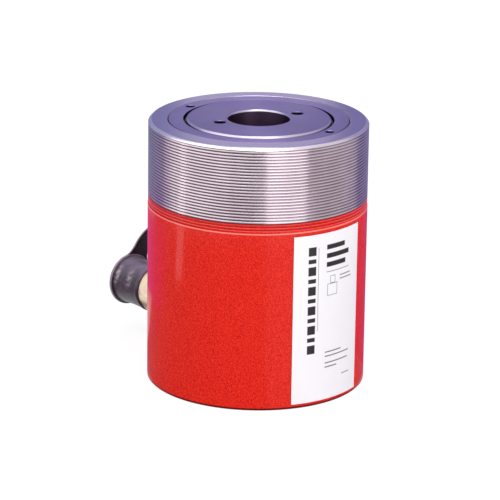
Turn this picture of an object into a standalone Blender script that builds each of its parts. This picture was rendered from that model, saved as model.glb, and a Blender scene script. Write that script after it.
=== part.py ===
"""Single-acting hollow plunger cylinder with a spring return and a capped half coupler.

All sizes are in metres. The body stands on z = 0 with its axis upright, the coupler points
to +Y and the rating label faces -Y. The origin is at the middle of the whole box, on the floor.
"""

import math

import bmesh
import bpy

# Shared clearances and mesh settings
FIT = 0.0003                    # gap that touching pieces keep
MERGE = 0.00001
SEGMENTS = 32                   # facets round the cylinder's own pieces
COUPLER_SEGMENTS = 20
DRILL_SEGMENTS = 16
CREASE_ANGLE = math.radians(30.0)
EDGE_BREAK = 0.0005             # small chamfer on the edges of the top rings

# Body
BODY_WALL = 0.02065             # from the bore to the outside
BASE_THICKNESS = 0.020
BASE_EDGE_CHAMFER = 0.001
TOP_EDGE_CHAMFER = 0.002
THREAD_PITCH = 0.0254 / 12.0
THREAD_DEPTH = 0.0013
THREAD_TURNS = 27
THREAD_CREST_DROP = 0.0002      # the thread's crest lies this far inside the plain body

# Oil port, which the coupler screws into
PORT_D = 0.0178
PORT_DEPTH = 0.014
PORT_DRILL_D = 0.006
PORT_RISE = 0.014               # port axis above the floor of the oil chamber
PORT_LAND = 0.003               # chamber height left between the drilling and the piston

# Centre tube
CENTER_HOLE_D = 0.04286
TUBE_WALL = 0.00714
TUBE_FLANGE_WIDTH = 0.0035
TUBE_FLANGE_HEIGHT = 0.0055
TUBE_RECESS = 0.0005            # the flange stays this far above the floor
TUBE_TOP_LAND = 0.0012
BASE_O_RING_SECTION = 0.0032

# Plunger with its piston
STROKE = 0.0762
PISTON_STEP = 0.00555           # from the plunger out to the bore, under the gland's stop
PLUNGER_WALL = 0.00875
SKIRT_STEP = 0.01055            # from the bore in to the skirt under the piston
PISTON_NOSE = 0.006
PISTON_WEB = 0.003
PISTON_SHOULDER = 0.0021
PISTON_BEARING_LENGTH = 0.006
PISTON_BEARING_WALL = 0.0023
SEAL_LENGTH = 0.005
SEAL_NOTCH = 0.002
PISTON_SEAL_WALL = 0.0059
BACKUP_LENGTH = 0.0024
INNER_NOSE = 0.0037
INNER_WEB = 0.0022
INNER_SHOULDER = 0.0019
INNER_SEAL_WALL = 0.0053
INNER_BEARING_LENGTH = 0.005
INNER_BEARING_WALL = 0.0027

# Head insert on top of the plunger
HEAD_PROUD = 0.0008             # the head stands this far above the body
HEAD_EDGE_CHAMFER = 0.0012
HEAD_HOLE_CHAMFER = 0.001
SPIGOT_LENGTH = 0.0115
SPIGOT_STEP = 0.00245
SPIGOT_RUNOUT = 0.002
SPIGOT_CLEARANCE = 0.001
HEAD_SPANNER_LAND = 0.00417     # metal left between the centre hole and a spanner hole
HEAD_SPANNER_D = 0.008
HEAD_SPANNER_DEPTH = 0.008
HEAD_SPANNER_ANGLE = math.radians(-15.0)

# Gland nut
GLAND_SEAT_WIDTH = 0.00665      # ledge round the bore that the gland nut sits on
GLAND_CLEARANCE = 0.0008
GLAND_NOSE = 0.0045
GLAND_BEARING_LENGTH = 0.020
GLAND_BEARING_WALL = 0.0024
GLAND_WEB = 0.0078
GLAND_LIP = 0.0022
GLAND_OPENING_GAP = 0.002       # between the plunger and the lip over the wiper
WIPER_HEIGHT = 0.0075
WIPER_WALL = 0.0022
WIPER_LIP_HEIGHT = 0.0025
GLAND_SPANNER_D = 0.006
GLAND_SPANNER_DEPTH = 0.006
GLAND_SPANNER_ANGLE = math.radians(106.0)

# Return spring and what holds it on the centre tube
SPRING_WIRE_D = 0.007
SPRING_SIDE_GAP = 0.00284       # from the coils to the tube, and to the plunger
SPRING_COILS = 6
SPRING_END_PITCH = 1.1          # pitch of the closed end coils, in wire diameters
SPRING_SPARE = 0.0028           # length left over when the coils would touch
SPRING_POINTS_PER_COIL = 12
RETAINER_THICKNESS = 0.004
RETAINER_GAP = 0.0025
SNAP_RING_THICKNESS = 0.002
SNAP_RING_WIDTH = 0.0032
SNAP_GROOVE_DEPTH = 0.0012
SNAP_RING_OPENING = 0.006

# Half coupler
SPUD_CHAMFER = 0.001
NECK_D = 0.020
NECK_LENGTH = 0.0158
HEX_AF = 0.03175
HEX_LENGTH = 0.015
HEX_CORNER_CHAMFER = 0.0016
COLLAR_STEP = 0.0032            # the collar stands out this far from the nose
COLLAR_LENGTH = 0.0048
NOSE_WALL = 0.0045              # between the socket and the nose's outside
NOSE_LENGTH = 0.0242
NOSE_CHAMFER = 0.0012
SOCKET_D = 0.019
SOCKET_DEPTH = 0.020
THROAT_D = 0.0104
THROAT_LENGTH = 0.003
CHAMBER_D = 0.013
COUPLER_O_RING_SECTION = 0.0024
COUPLER_O_RING_DEPTH = 0.010    # below the coupler's end face
COUPLER_O_RING_PROUD = 0.0004
POPPET_NOSE_GAP = 0.0008
POPPET_NOSE_REACH = 0.0025      # past the throat, into the socket
POPPET_HEAD_GAP = 0.0007
POPPET_HEAD_HEIGHT = 0.0033
POPPET_STEM_D = 0.0036
POPPET_STEM_TAIL = 0.003        # past the spring seat
COUPLER_SPRING_WIRE_D = 0.0012
COUPLER_SPRING_MEAN_D = 0.0084
COUPLER_SPRING_LENGTH = 0.022
COUPLER_SPRING_COILS = 6
COUPLER_SPRING_POINTS_PER_COIL = 10
SPRING_SEAT_THICKNESS = 0.003
SPRING_SEAT_GAP = 0.0005

# Dust cap with its strap
CAP_WALL = 0.003
CAP_END_GAP = 0.003
CAP_END_THICKNESS = 0.0036
CAP_DISC_THICKNESS = 0.0024
CAP_DISC_OVERHANG = 0.0016
CAP_GROOVE_WIDTH = 0.0006
CAP_GROOVE_DEPTH = 0.0005
STRAP_WIDTH = 0.014
STRAP_THICKNESS = 0.002
STRAP_ANGLE = math.radians(65.0)  # from +X towards +Z, where the strap leaves the cap
STRAP_LEG = 0.001
STRAP_ARCH_STEPS = 18
STRAP_RING_WIDTH = 0.0047
STRAP_RING_THICKNESS = 0.0024

# Rating label
LABEL_WIDTH = 0.059
LABEL_THICKNESS = 0.0003
LABEL_BOTTOM = 0.0036
LABEL_TOP_MARGIN = 0.0035
LABEL_STEPS = 12

# Diameters that follow from the sizes above, from the centre hole out
TUBE_D = CENTER_HOLE_D + 2.0 * TUBE_WALL
SPRING_BORE_D = TUBE_D + 2.0 * SPRING_WIRE_D + 4.0 * SPRING_SIDE_GAP
PLUNGER_D = SPRING_BORE_D + 2.0 * PLUNGER_WALL
BORE_D = PLUNGER_D + 2.0 * PISTON_STEP
SKIRT_D = BORE_D - 2.0 * SKIRT_STEP
GLAND_OD = BORE_D + 2.0 * GLAND_SEAT_WIDTH
BODY_OD = BORE_D + 2.0 * BODY_WALL
HEAD_SPANNER_CIRCLE_D = CENTER_HOLE_D + 2.0 * HEAD_SPANNER_LAND + HEAD_SPANNER_D
NOSE_D = SOCKET_D + 2.0 * NOSE_WALL
COLLAR_D = NOSE_D + 2.0 * COLLAR_STEP

# Radii
BODY_R = BODY_OD / 2.0
BORE_R = BORE_D / 2.0
HOLE_R = CENTER_HOLE_D / 2.0
TUBE_R = TUBE_D / 2.0
FLANGE_R = TUBE_R + TUBE_FLANGE_WIDTH
PLUNGER_R = PLUNGER_D / 2.0
PISTON_R = BORE_R - FIT
INNER_R = TUBE_R + FIT
SPRING_BORE_R = SPRING_BORE_D / 2.0
SPIGOT_R = SPRING_BORE_R + SPIGOT_STEP
RETAINER_R = SPRING_BORE_R - RETAINER_GAP
GLAND_R = GLAND_OD / 2.0
GLAND_INNER_R = PLUNGER_R + GLAND_CLEARANCE
GLAND_OPENING_R = PLUNGER_R + GLAND_OPENING_GAP
SNAP_GROOVE_R = TUBE_R - SNAP_GROOVE_DEPTH

# Levels of the cylinder, from the floor up
TUBE_FLANGE_TOP = TUBE_RECESS + TUBE_FLANGE_HEIGHT
FLANGE_LEDGE = TUBE_FLANGE_TOP + FIT
BASE_O_RING_Z = (FLANGE_LEDGE + BASE_THICKNESS) / 2.0
PORT_Z = BASE_THICKNESS + PORT_RISE
PLUNGER_BOTTOM = BASE_THICKNESS + FIT
PISTON_BOTTOM = PORT_Z + PORT_DRILL_D / 2.0 + PORT_LAND
PISTON_SEAL_Z = PISTON_BOTTOM + PISTON_NOSE
SEAL_GROOVE_LENGTH = SEAL_LENGTH + BACKUP_LENGTH + 3.0 * FIT
PISTON_BEARING_Z = PISTON_SEAL_Z + SEAL_GROOVE_LENGTH + PISTON_WEB
PISTON_TOP = PISTON_BEARING_Z + PISTON_BEARING_LENGTH + 2.0 * FIT + PISTON_SHOULDER
INNER_SEAL_Z = PLUNGER_BOTTOM + INNER_NOSE
INNER_BEARING_Z = INNER_SEAL_Z + SEAL_GROOVE_LENGTH + INNER_WEB
SPRING_LEDGE = INNER_BEARING_Z + INNER_BEARING_LENGTH + 2.0 * FIT + INNER_SHOULDER
GLAND_SEAT = PISTON_TOP + STROKE
GLAND_BOTTOM = GLAND_SEAT + FIT
GLAND_BEARING_Z = GLAND_BOTTOM + GLAND_NOSE
WIPER_Z = GLAND_BEARING_Z + GLAND_BEARING_LENGTH + 2.0 * FIT + GLAND_WEB
BODY_TOP = WIPER_Z + WIPER_HEIGHT + 2.0 * FIT + GLAND_LIP
RETAINER_Z = SPRING_LEDGE + STROKE + SPRING_COILS * SPRING_WIRE_D + SPRING_SPARE
RETAINER_TOP = RETAINER_Z + RETAINER_THICKNESS
SNAP_RING_Z = RETAINER_TOP + FIT
TUBE_TOP = SNAP_RING_Z + SNAP_RING_THICKNESS + FIT + TUBE_TOP_LAND
PLUNGER_TOP = TUBE_TOP + FIT
HEAD_SEAT = PLUNGER_TOP + FIT
HEAD_TOP = BODY_TOP + HEAD_PROUD
THREAD_TOP = BODY_TOP - TOP_EDGE_CHAMFER
THREAD_BOTTOM = THREAD_TOP - THREAD_TURNS * THREAD_PITCH

# Stations of the coupler along its own axis, measured from the cylinder's axis
SPUD_END = BODY_R - PORT_DEPTH + FIT
HEX_START = BODY_R + NECK_LENGTH
HEX_END = HEX_START + HEX_LENGTH
COLLAR_END = HEX_END + COLLAR_LENGTH
NOSE_END = COLLAR_END + NOSE_LENGTH
COUPLER_O_RING_STATION = NOSE_END - COUPLER_O_RING_DEPTH
SOCKET_FLOOR = NOSE_END - SOCKET_DEPTH
THROAT_BACK = SOCKET_FLOOR - THROAT_LENGTH
POPPET_FACE = THROAT_BACK - FIT
POPPET_BACK = POPPET_FACE - POPPET_HEAD_HEIGHT
SPRING_SEAT_FACE = POPPET_BACK - COUPLER_SPRING_LENGTH
SPRING_SEAT_BACK = SPRING_SEAT_FACE - SPRING_SEAT_THICKNESS
CAP_RIM = COLLAR_END + FIT
CAP_FLOOR = NOSE_END + CAP_END_GAP
CAP_END = CAP_FLOOR + CAP_END_THICKNESS
CAP_DISC_BACK = CAP_END - CAP_DISC_THICKNESS
CAP_INNER_R = NOSE_D / 2.0 + FIT
CAP_OUTER_R = CAP_INNER_R + CAP_WALL
CAP_DISC_R = CAP_OUTER_R + CAP_DISC_OVERHANG
STRAP_RING_STATION = BODY_R + NECK_LENGTH / 2.0

# The axis stands off the origin so that the whole box is centred over it
LABEL_INNER_R = BODY_R + FIT
LABEL_OUTER_R = LABEL_INNER_R + LABEL_THICKNESS
AXIS_Y = (LABEL_OUTER_R - CAP_END) / 2.0

RED_PAINT = ((0.74, 0.035, 0.020), 0.38, 0.0)
BARE_STEEL = ((0.47, 0.44, 0.52), 0.34, 1.0)
PLATED_STEEL = ((0.40, 0.37, 0.55), 0.22, 1.0)
SPRING_STEEL = ((0.20, 0.20, 0.21), 0.45, 1.0)
BRONZE = ((0.55, 0.33, 0.14), 0.40, 1.0)
COUPLER_BRASS = ((0.83, 0.68, 0.38), 0.32, 1.0)
BLACK_RUBBER = ((0.025, 0.022, 0.030), 0.55, 0.0)
SEAL_RUBBER = ((0.03, 0.03, 0.035), 0.60, 0.0)
SEAL_PLASTIC = ((0.55, 0.30, 0.06), 0.45, 0.0)
LABEL_WHITE = ((0.88, 0.88, 0.90), 0.40, 0.0)


def clear_scene():
    """Removes whatever the scene holds, so that the script can run again."""
    for item in list(bpy.data.objects):
        bpy.data.objects.remove(item, do_unlink=True)
    for collection in list(bpy.data.collections):
        bpy.data.collections.remove(collection)


def new_collection(name):
    collection = bpy.data.collections.new(name)
    bpy.context.scene.collection.children.link(collection)
    return collection


def add_axis(name, location, rotation=(0.0, 0.0, 0.0)):
    """An empty that pieces are built about, along its own Z."""
    axis = bpy.data.objects.new(name, None)
    axis.location = location
    axis.rotation_euler = rotation
    axis.empty_display_size = BODY_R / 2.0
    PARTS.objects.link(axis)
    return axis


def add_piece(name, mesh, parent, collection):
    piece = bpy.data.objects.new(name, mesh)
    piece.parent = parent
    collection.objects.link(piece)
    return piece


def as_tool(piece):
    """Hides a cutter or a blank that only shapes other pieces."""
    piece.hide_render = True
    piece.display_type = "WIRE"
    return piece


def turned(name, profile, parent, segments, collection=None, solid=False):
    """A turned piece: (radius, height) points run from the top, down the outside, and back up.

    A solid one starts and ends on its axis, and is left open there for the Screw to close.
    """
    mesh = bpy.data.meshes.new(name)
    outline = bmesh.new()
    points = [outline.verts.new((radius, 0.0, height)) for radius, height in profile]
    for first, second in zip(points, points[1:]):
        outline.edges.new((first, second))
    if not solid:
        outline.edges.new((points[-1], points[0]))
    outline.to_mesh(mesh)
    outline.free()
    piece = add_piece(name, mesh, parent, collection or PARTS)
    screw = piece.modifiers.new("turn", "SCREW")
    screw.steps = segments
    screw.render_steps = segments
    screw.use_merge_vertices = True
    screw.merge_threshold = MERGE
    return piece


def ring(name, inner, outer, low, high, parent, segments):
    """A plain ring of rectangular section."""
    return turned(name, [(inner, high), (outer, high), (outer, low), (inner, low)], parent, segments)


def o_ring(name, inner, section, middle, parent, segments):
    """A round rubber ring, as an octagon turned about the axis."""
    radius = section / 2.0
    sides = 8
    turn = 2.0 * math.pi / sides
    profile = []
    for side in range(sides):
        angle = math.pi / 2.0 - (side + 0.5) * turn
        profile.append((inner + radius + radius * math.cos(angle), middle + radius * math.sin(angle)))
    return turned(name, profile, parent, segments)


def drill(name, diameter, low, high, parent, x=0.0, y=0.0):
    """A cutter for a round hole along its parent's Z."""
    mesh = bpy.data.meshes.new(name)
    shape = bmesh.new()
    bmesh.ops.create_cone(shape, cap_ends=True, segments=DRILL_SEGMENTS, radius1=diameter / 2.0,
                          radius2=diameter / 2.0, depth=high - low)
    shape.to_mesh(mesh)
    shape.free()
    cutter = as_tool(add_piece(name, mesh, parent, CUTTERS))
    cutter.location = (x, y, (low + high) / 2.0)
    return cutter


def combine(piece, tool, operation):
    """Adds a Boolean between a piece and a cutter or blank."""
    change = piece.modifiers.new(tool.name, "BOOLEAN")
    change.object = tool
    change.operation = operation
    change.solver = "EXACT"


def drill_pair(piece, name, diameter, depth, circle_r, angle, top, parent):
    """Two blind holes opposite each other, for a pin spanner."""
    for number in range(2):
        turn = angle + number * math.pi
        cutter = drill(name + "_" + str(number + 1), diameter, top - depth, top + depth, parent,
                       circle_r * math.cos(turn), circle_r * math.sin(turn))
        combine(piece, cutter, "DIFFERENCE")


def coil_points(low, high, coils, radius, points_per_coil, end_pitch):
    """Centre line of a compression spring with one closed coil at each end."""
    middle_pitch = (high - low - 2.0 * end_pitch) / (coils - 2)
    points = []
    for step in range(coils * points_per_coil + 1):
        turns = step / points_per_coil
        height = low + end_pitch * min(turns, 1.0)
        height += middle_pitch * min(max(turns - 1.0, 0.0), coils - 2)
        height += end_pitch * max(turns - (coils - 1), 0.0)
        angle = 2.0 * math.pi * turns
        points.append((radius * math.cos(angle), radius * math.sin(angle), height))
    return points


def wire(name, points, diameter, parent):
    """A round wire with filled ends along a list of points."""
    curve = bpy.data.curves.new(name, "CURVE")
    curve.dimensions = "3D"
    curve.bevel_depth = diameter / 2.0
    curve.bevel_resolution = 2
    curve.use_fill_caps = True
    spline = curve.splines.new("POLY")
    spline.points.add(len(points) - 1)
    for point, place in zip(spline.points, points):
        point.co = (*place, 1.0)
    return add_piece(name, curve, parent, PARTS)


def coil_spring(name, low, high, coils, mean_r, wire_d, points_per_coil, parent):
    """A compression spring between two flat seats."""
    half = wire_d / 2.0
    points = coil_points(low + half, high - half, coils, mean_r, points_per_coil,
                         SPRING_END_PITCH * wire_d)
    return wire(name, points, wire_d, parent)


def finish(piece, look):
    """Gives a piece its own material."""
    colour, roughness, metallic = look
    material = bpy.data.materials.new(piece.name)
    material.use_nodes = True
    shader = material.node_tree.nodes["Principled BSDF"]
    shader.inputs["Base Color"].default_value = (*colour, 1.0)
    shader.inputs["Roughness"].default_value = roughness
    shader.inputs["Metallic"].default_value = metallic
    material.diffuse_color = (*colour, 1.0)
    piece.data.materials.clear()
    piece.data.materials.append(material)


def thread_profile():
    """Crests and roots of the collar thread, as rings from the top down."""
    crest = BODY_R - THREAD_CREST_DROP
    points = [(crest, THREAD_TOP)]
    for turn in range(THREAD_TURNS):
        points.append((crest - THREAD_DEPTH, THREAD_TOP - (turn + 0.5) * THREAD_PITCH))
        points.append((crest, THREAD_TOP - (turn + 1.0) * THREAD_PITCH))
    return points


def make_cylinder_body():
    """The one-piece barrel and base, with its collar thread, seats and oil port."""
    recess_r = FLANGE_R + FIT
    tube_hole_r = TUBE_R + FIT
    groove_r = tube_hole_r + BASE_O_RING_SECTION + FIT
    groove_half = BASE_O_RING_SECTION / 2.0 + FIT
    gland_hole_r = GLAND_R + FIT
    profile = [(gland_hole_r + EDGE_BREAK, BODY_TOP), (BODY_R - TOP_EDGE_CHAMFER, BODY_TOP)]
    profile += thread_profile()
    profile += [
        (BODY_R, THREAD_BOTTOM - THREAD_CREST_DROP),
        (BODY_R, BASE_EDGE_CHAMFER),
        (BODY_R - BASE_EDGE_CHAMFER, 0.0),
        (recess_r, 0.0),
        (recess_r, FLANGE_LEDGE),
        (tube_hole_r, FLANGE_LEDGE),
        (tube_hole_r, BASE_O_RING_Z - groove_half),
        (groove_r, BASE_O_RING_Z - groove_half),
        (groove_r, BASE_O_RING_Z + groove_half),
        (tube_hole_r, BASE_O_RING_Z + groove_half),
        (tube_hole_r, BASE_THICKNESS),
        (BORE_R, BASE_THICKNESS),
        (BORE_R, GLAND_SEAT),
        (gland_hole_r, GLAND_SEAT),
        (gland_hole_r, BODY_TOP - EDGE_BREAK),
    ]
    body = turned("cylinder_body", profile, CYLINDER_AXIS, SEGMENTS)
    port = drill("port_cutter", PORT_D, BODY_R - PORT_DEPTH, BODY_R + PORT_DEPTH, COUPLER_AXIS)
    drilling = drill("port_drilling_cutter", PORT_DRILL_D, BORE_R - PORT_DRILL_D, BODY_R, COUPLER_AXIS)
    combine(body, port, "DIFFERENCE")
    combine(body, drilling, "DIFFERENCE")
    finish(body, RED_PAINT)


def make_center_tube():
    """The tube that lines the centre hole, with the flange that hooks under the base."""
    tube = turned("center_tube", [
        (HOLE_R, TUBE_TOP),
        (TUBE_R, TUBE_TOP),
        (TUBE_R, SNAP_RING_Z + SNAP_RING_THICKNESS + FIT),
        (SNAP_GROOVE_R, SNAP_RING_Z + SNAP_RING_THICKNESS + FIT),
        (SNAP_GROOVE_R, SNAP_RING_Z - FIT),
        (TUBE_R, SNAP_RING_Z - FIT),
        (TUBE_R, TUBE_FLANGE_TOP),
        (FLANGE_R, TUBE_FLANGE_TOP),
        (FLANGE_R, TUBE_RECESS),
        (HOLE_R, TUBE_RECESS),
    ], CYLINDER_AXIS, SEGMENTS)
    finish(tube, BARE_STEEL)
    seal = o_ring("base_o_ring", TUBE_R + FIT, BASE_O_RING_SECTION, BASE_O_RING_Z, CYLINDER_AXIS,
                  SEGMENTS)
    finish(seal, SEAL_RUBBER)


def make_spring_retainer():
    """The washer that the return spring pushes against, and the snap ring above it."""
    washer = ring("spring_retainer", TUBE_R + FIT, RETAINER_R, RETAINER_Z, RETAINER_TOP, CYLINDER_AXIS,
                  SEGMENTS)
    finish(washer, BARE_STEEL)
    inner = SNAP_GROOVE_R + FIT
    snap = ring("retainer_snap_ring", inner, inner + SNAP_RING_WIDTH, SNAP_RING_Z,
                SNAP_RING_Z + SNAP_RING_THICKNESS, CYLINDER_AXIS, SEGMENTS)
    opening = bpy.data.meshes.new("snap_ring_opening")
    block = bmesh.new()
    bmesh.ops.create_cube(block, size=1.0)
    bmesh.ops.scale(block, verts=block.verts,
                    vec=(TUBE_R, SNAP_RING_OPENING, 3.0 * SNAP_RING_THICKNESS))
    block.to_mesh(opening)
    block.free()
    cutter = as_tool(add_piece("snap_ring_opening", opening, CYLINDER_AXIS, CUTTERS))
    cutter.location = (-TUBE_R, 0.0, SNAP_RING_Z + SNAP_RING_THICKNESS / 2.0)
    combine(snap, cutter, "DIFFERENCE")
    finish(snap, SPRING_STEEL)


def make_return_spring():
    spring = coil_spring("return_spring", SPRING_LEDGE + FIT, RETAINER_Z - FIT, SPRING_COILS,
                         (TUBE_R + SPRING_BORE_R) / 2.0, SPRING_WIRE_D, SPRING_POINTS_PER_COIL,
                         CYLINDER_AXIS)
    finish(spring, SPRING_STEEL)


def outer_groove(surface_r, wall, low, length):
    """A ring groove in an outside diameter, listed from its top down."""
    floor_r = surface_r - wall - FIT
    return [(surface_r, low + length), (floor_r, low + length), (floor_r, low), (surface_r, low)]


def inner_groove(surface_r, wall, low, length):
    """A ring groove in a bore, listed from its bottom up."""
    floor_r = surface_r + wall + FIT
    return [(surface_r, low), (floor_r, low), (floor_r, low + length), (surface_r, low + length)]


def make_plunger():
    """The hollow plunger: piston with its seal grooves below, spring room and thread above."""
    counterbore_r = SPIGOT_R + FIT
    counterbore_bottom = HEAD_SEAT - SPIGOT_LENGTH - SPIGOT_RUNOUT
    profile = [(counterbore_r, PLUNGER_TOP), (PLUNGER_R, PLUNGER_TOP), (PLUNGER_R, PISTON_TOP),
               (PISTON_R, PISTON_TOP)]
    profile += outer_groove(PISTON_R, PISTON_BEARING_WALL, PISTON_BEARING_Z,
                            PISTON_BEARING_LENGTH + 2.0 * FIT)
    profile += outer_groove(PISTON_R, PISTON_SEAL_WALL, PISTON_SEAL_Z, SEAL_GROOVE_LENGTH)
    profile += [(PISTON_R, PISTON_BOTTOM), (SKIRT_D / 2.0, PISTON_BOTTOM),
                (SKIRT_D / 2.0, PLUNGER_BOTTOM), (INNER_R, PLUNGER_BOTTOM)]
    profile += inner_groove(INNER_R, INNER_SEAL_WALL, INNER_SEAL_Z, SEAL_GROOVE_LENGTH)
    profile += inner_groove(INNER_R, INNER_BEARING_WALL, INNER_BEARING_Z,
                            INNER_BEARING_LENGTH + 2.0 * FIT)
    profile += [(INNER_R, SPRING_LEDGE), (SPRING_BORE_R, SPRING_LEDGE),
                (SPRING_BORE_R, counterbore_bottom), (counterbore_r, counterbore_bottom)]
    plunger = turned("plunger", profile, CYLINDER_AXIS, SEGMENTS)
    finish(plunger, PLATED_STEEL)


def lip_seal(name, inner, outer, low, parent):
    """A U-section seal with its lips towards the oil below."""
    middle = (inner + outer) / 2.0
    lip = (outer - inner) / 5.0
    return turned(name, [
        (inner, low + SEAL_LENGTH),
        (outer, low + SEAL_LENGTH),
        (outer, low),
        (outer - lip, low),
        (middle, low + SEAL_NOTCH),
        (inner + lip, low),
        (inner, low),
    ], parent, SEGMENTS)


def make_plunger_seals():
    """Seals, backup rings and bearing rings on the outside and inside of the piston."""
    for name, inner, outer, low in (
            ("piston", PISTON_R - PISTON_SEAL_WALL, PISTON_R, PISTON_SEAL_Z),
            ("inner", INNER_R, INNER_R + INNER_SEAL_WALL, INNER_SEAL_Z)):
        seal_low = low + FIT
        backup_low = seal_low + SEAL_LENGTH + FIT
        finish(lip_seal(name + "_seal", inner, outer, seal_low, CYLINDER_AXIS), SEAL_RUBBER)
        backup = ring(name + "_backup_ring", inner, outer, backup_low, backup_low + BACKUP_LENGTH,
                      CYLINDER_AXIS, SEGMENTS)
        finish(backup, SEAL_PLASTIC)
    low = PISTON_BEARING_Z + FIT
    band = ring("piston_bearing", PISTON_R - PISTON_BEARING_WALL, PISTON_R, low,
                low + PISTON_BEARING_LENGTH, CYLINDER_AXIS, SEGMENTS)
    finish(band, BRONZE)
    low = INNER_BEARING_Z + FIT
    band = ring("inner_bearing", INNER_R, INNER_R + INNER_BEARING_WALL, low, low + INNER_BEARING_LENGTH,
                CYLINDER_AXIS, SEGMENTS)
    finish(band, BRONZE)


def make_head_insert():
    """The screwed-in head that takes the load, with two blind spanner holes."""
    spigot_inner_r = RETAINER_R + SPIGOT_CLEARANCE
    head = turned("head_insert", [
        (HOLE_R + HEAD_HOLE_CHAMFER, HEAD_TOP),
        (PLUNGER_R - HEAD_EDGE_CHAMFER, HEAD_TOP),
        (PLUNGER_R, HEAD_TOP - HEAD_EDGE_CHAMFER),
        (PLUNGER_R, HEAD_SEAT),
        (SPIGOT_R, HEAD_SEAT),
        (SPIGOT_R, HEAD_SEAT - SPIGOT_LENGTH),
        (spigot_inner_r, HEAD_SEAT - SPIGOT_LENGTH),
        (spigot_inner_r, HEAD_SEAT),
        (HOLE_R, HEAD_SEAT),
        (HOLE_R, HEAD_TOP - HEAD_HOLE_CHAMFER),
    ], CYLINDER_AXIS, SEGMENTS)
    drill_pair(head, "head_spanner_cutter", HEAD_SPANNER_D, HEAD_SPANNER_DEPTH,
               HEAD_SPANNER_CIRCLE_D / 2.0, HEAD_SPANNER_ANGLE, HEAD_TOP, CYLINDER_AXIS)
    finish(head, PLATED_STEEL)


def make_gland():
    """The gland nut that stops and guides the plunger, with its bearing and wiper."""
    wiper_groove_r = PLUNGER_R + FIT + WIPER_WALL + FIT
    bearing_groove_r = PLUNGER_R + FIT + GLAND_BEARING_WALL + FIT
    bearing_top = GLAND_BEARING_Z + GLAND_BEARING_LENGTH + 2.0 * FIT
    wiper_top = WIPER_Z + WIPER_HEIGHT + 2.0 * FIT
    gland = turned("gland_nut", [
        (GLAND_OPENING_R + EDGE_BREAK, BODY_TOP),
        (GLAND_R - EDGE_BREAK, BODY_TOP),
        (GLAND_R, BODY_TOP - EDGE_BREAK),
        (GLAND_R, GLAND_BOTTOM),
        (GLAND_INNER_R, GLAND_BOTTOM),
        (GLAND_INNER_R, GLAND_BEARING_Z),
        (bearing_groove_r, GLAND_BEARING_Z),
        (bearing_groove_r, bearing_top),
        (GLAND_INNER_R, bearing_top),
        (GLAND_INNER_R, WIPER_Z),
        (wiper_groove_r, WIPER_Z),
        (wiper_groove_r, wiper_top),
        (GLAND_OPENING_R, wiper_top),
        (GLAND_OPENING_R, BODY_TOP - EDGE_BREAK),
    ], CYLINDER_AXIS, SEGMENTS)
    drill_pair(gland, "gland_spanner_cutter", GLAND_SPANNER_D, GLAND_SPANNER_DEPTH,
               (GLAND_OPENING_R + GLAND_R) / 2.0, GLAND_SPANNER_ANGLE, BODY_TOP, CYLINDER_AXIS)
    finish(gland, BARE_STEEL)
    inner = PLUNGER_R + FIT
    bearing_low = GLAND_BEARING_Z + FIT
    bearing = ring("gland_bearing", inner, inner + GLAND_BEARING_WALL, bearing_low,
                   bearing_low + GLAND_BEARING_LENGTH, CYLINDER_AXIS, SEGMENTS)
    finish(bearing, BRONZE)
    wiper_low = WIPER_Z + FIT
    wiper_high = wiper_low + WIPER_HEIGHT
    wiper = turned("rod_wiper", [
        (inner, wiper_high),
        (inner + WIPER_WALL / 2.0, wiper_high),
        (inner + WIPER_WALL / 2.0, wiper_high - WIPER_LIP_HEIGHT),
        (inner + WIPER_WALL, wiper_high - WIPER_LIP_HEIGHT),
        (inner + WIPER_WALL, wiper_low),
        (inner, wiper_low),
    ], CYLINDER_AXIS, SEGMENTS)
    finish(wiper, SEAL_RUBBER)


def hex_blank():
    """The coupler's spanner hexagon with its corners turned back at both ends."""
    corner_r = HEX_AF / math.sqrt(3.0)
    mesh = bpy.data.meshes.new("hex_blank")
    shape = bmesh.new()
    bmesh.ops.create_cone(shape, cap_ends=True, segments=6, radius1=corner_r, radius2=corner_r,
                          depth=HEX_LENGTH)
    shape.to_mesh(mesh)
    shape.free()
    blank = as_tool(add_piece("hex_blank", mesh, COUPLER_AXIS, CUTTERS))
    blank.location = (0.0, 0.0, (HEX_START + HEX_END) / 2.0)
    limit_r = corner_r - HEX_CORNER_CHAMFER
    limit = as_tool(turned("hex_limit", [
        (0.0, HEX_END + FIT),
        (limit_r, HEX_END + FIT),
        (limit_r + HEX_LENGTH, (HEX_START + HEX_END) / 2.0),
        (limit_r, HEX_START - FIT),
        (0.0, HEX_START - FIT),
    ], COUPLER_AXIS, COUPLER_SEGMENTS, CUTTERS, solid=True))
    combine(blank, limit, "INTERSECT")
    return blank


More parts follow.
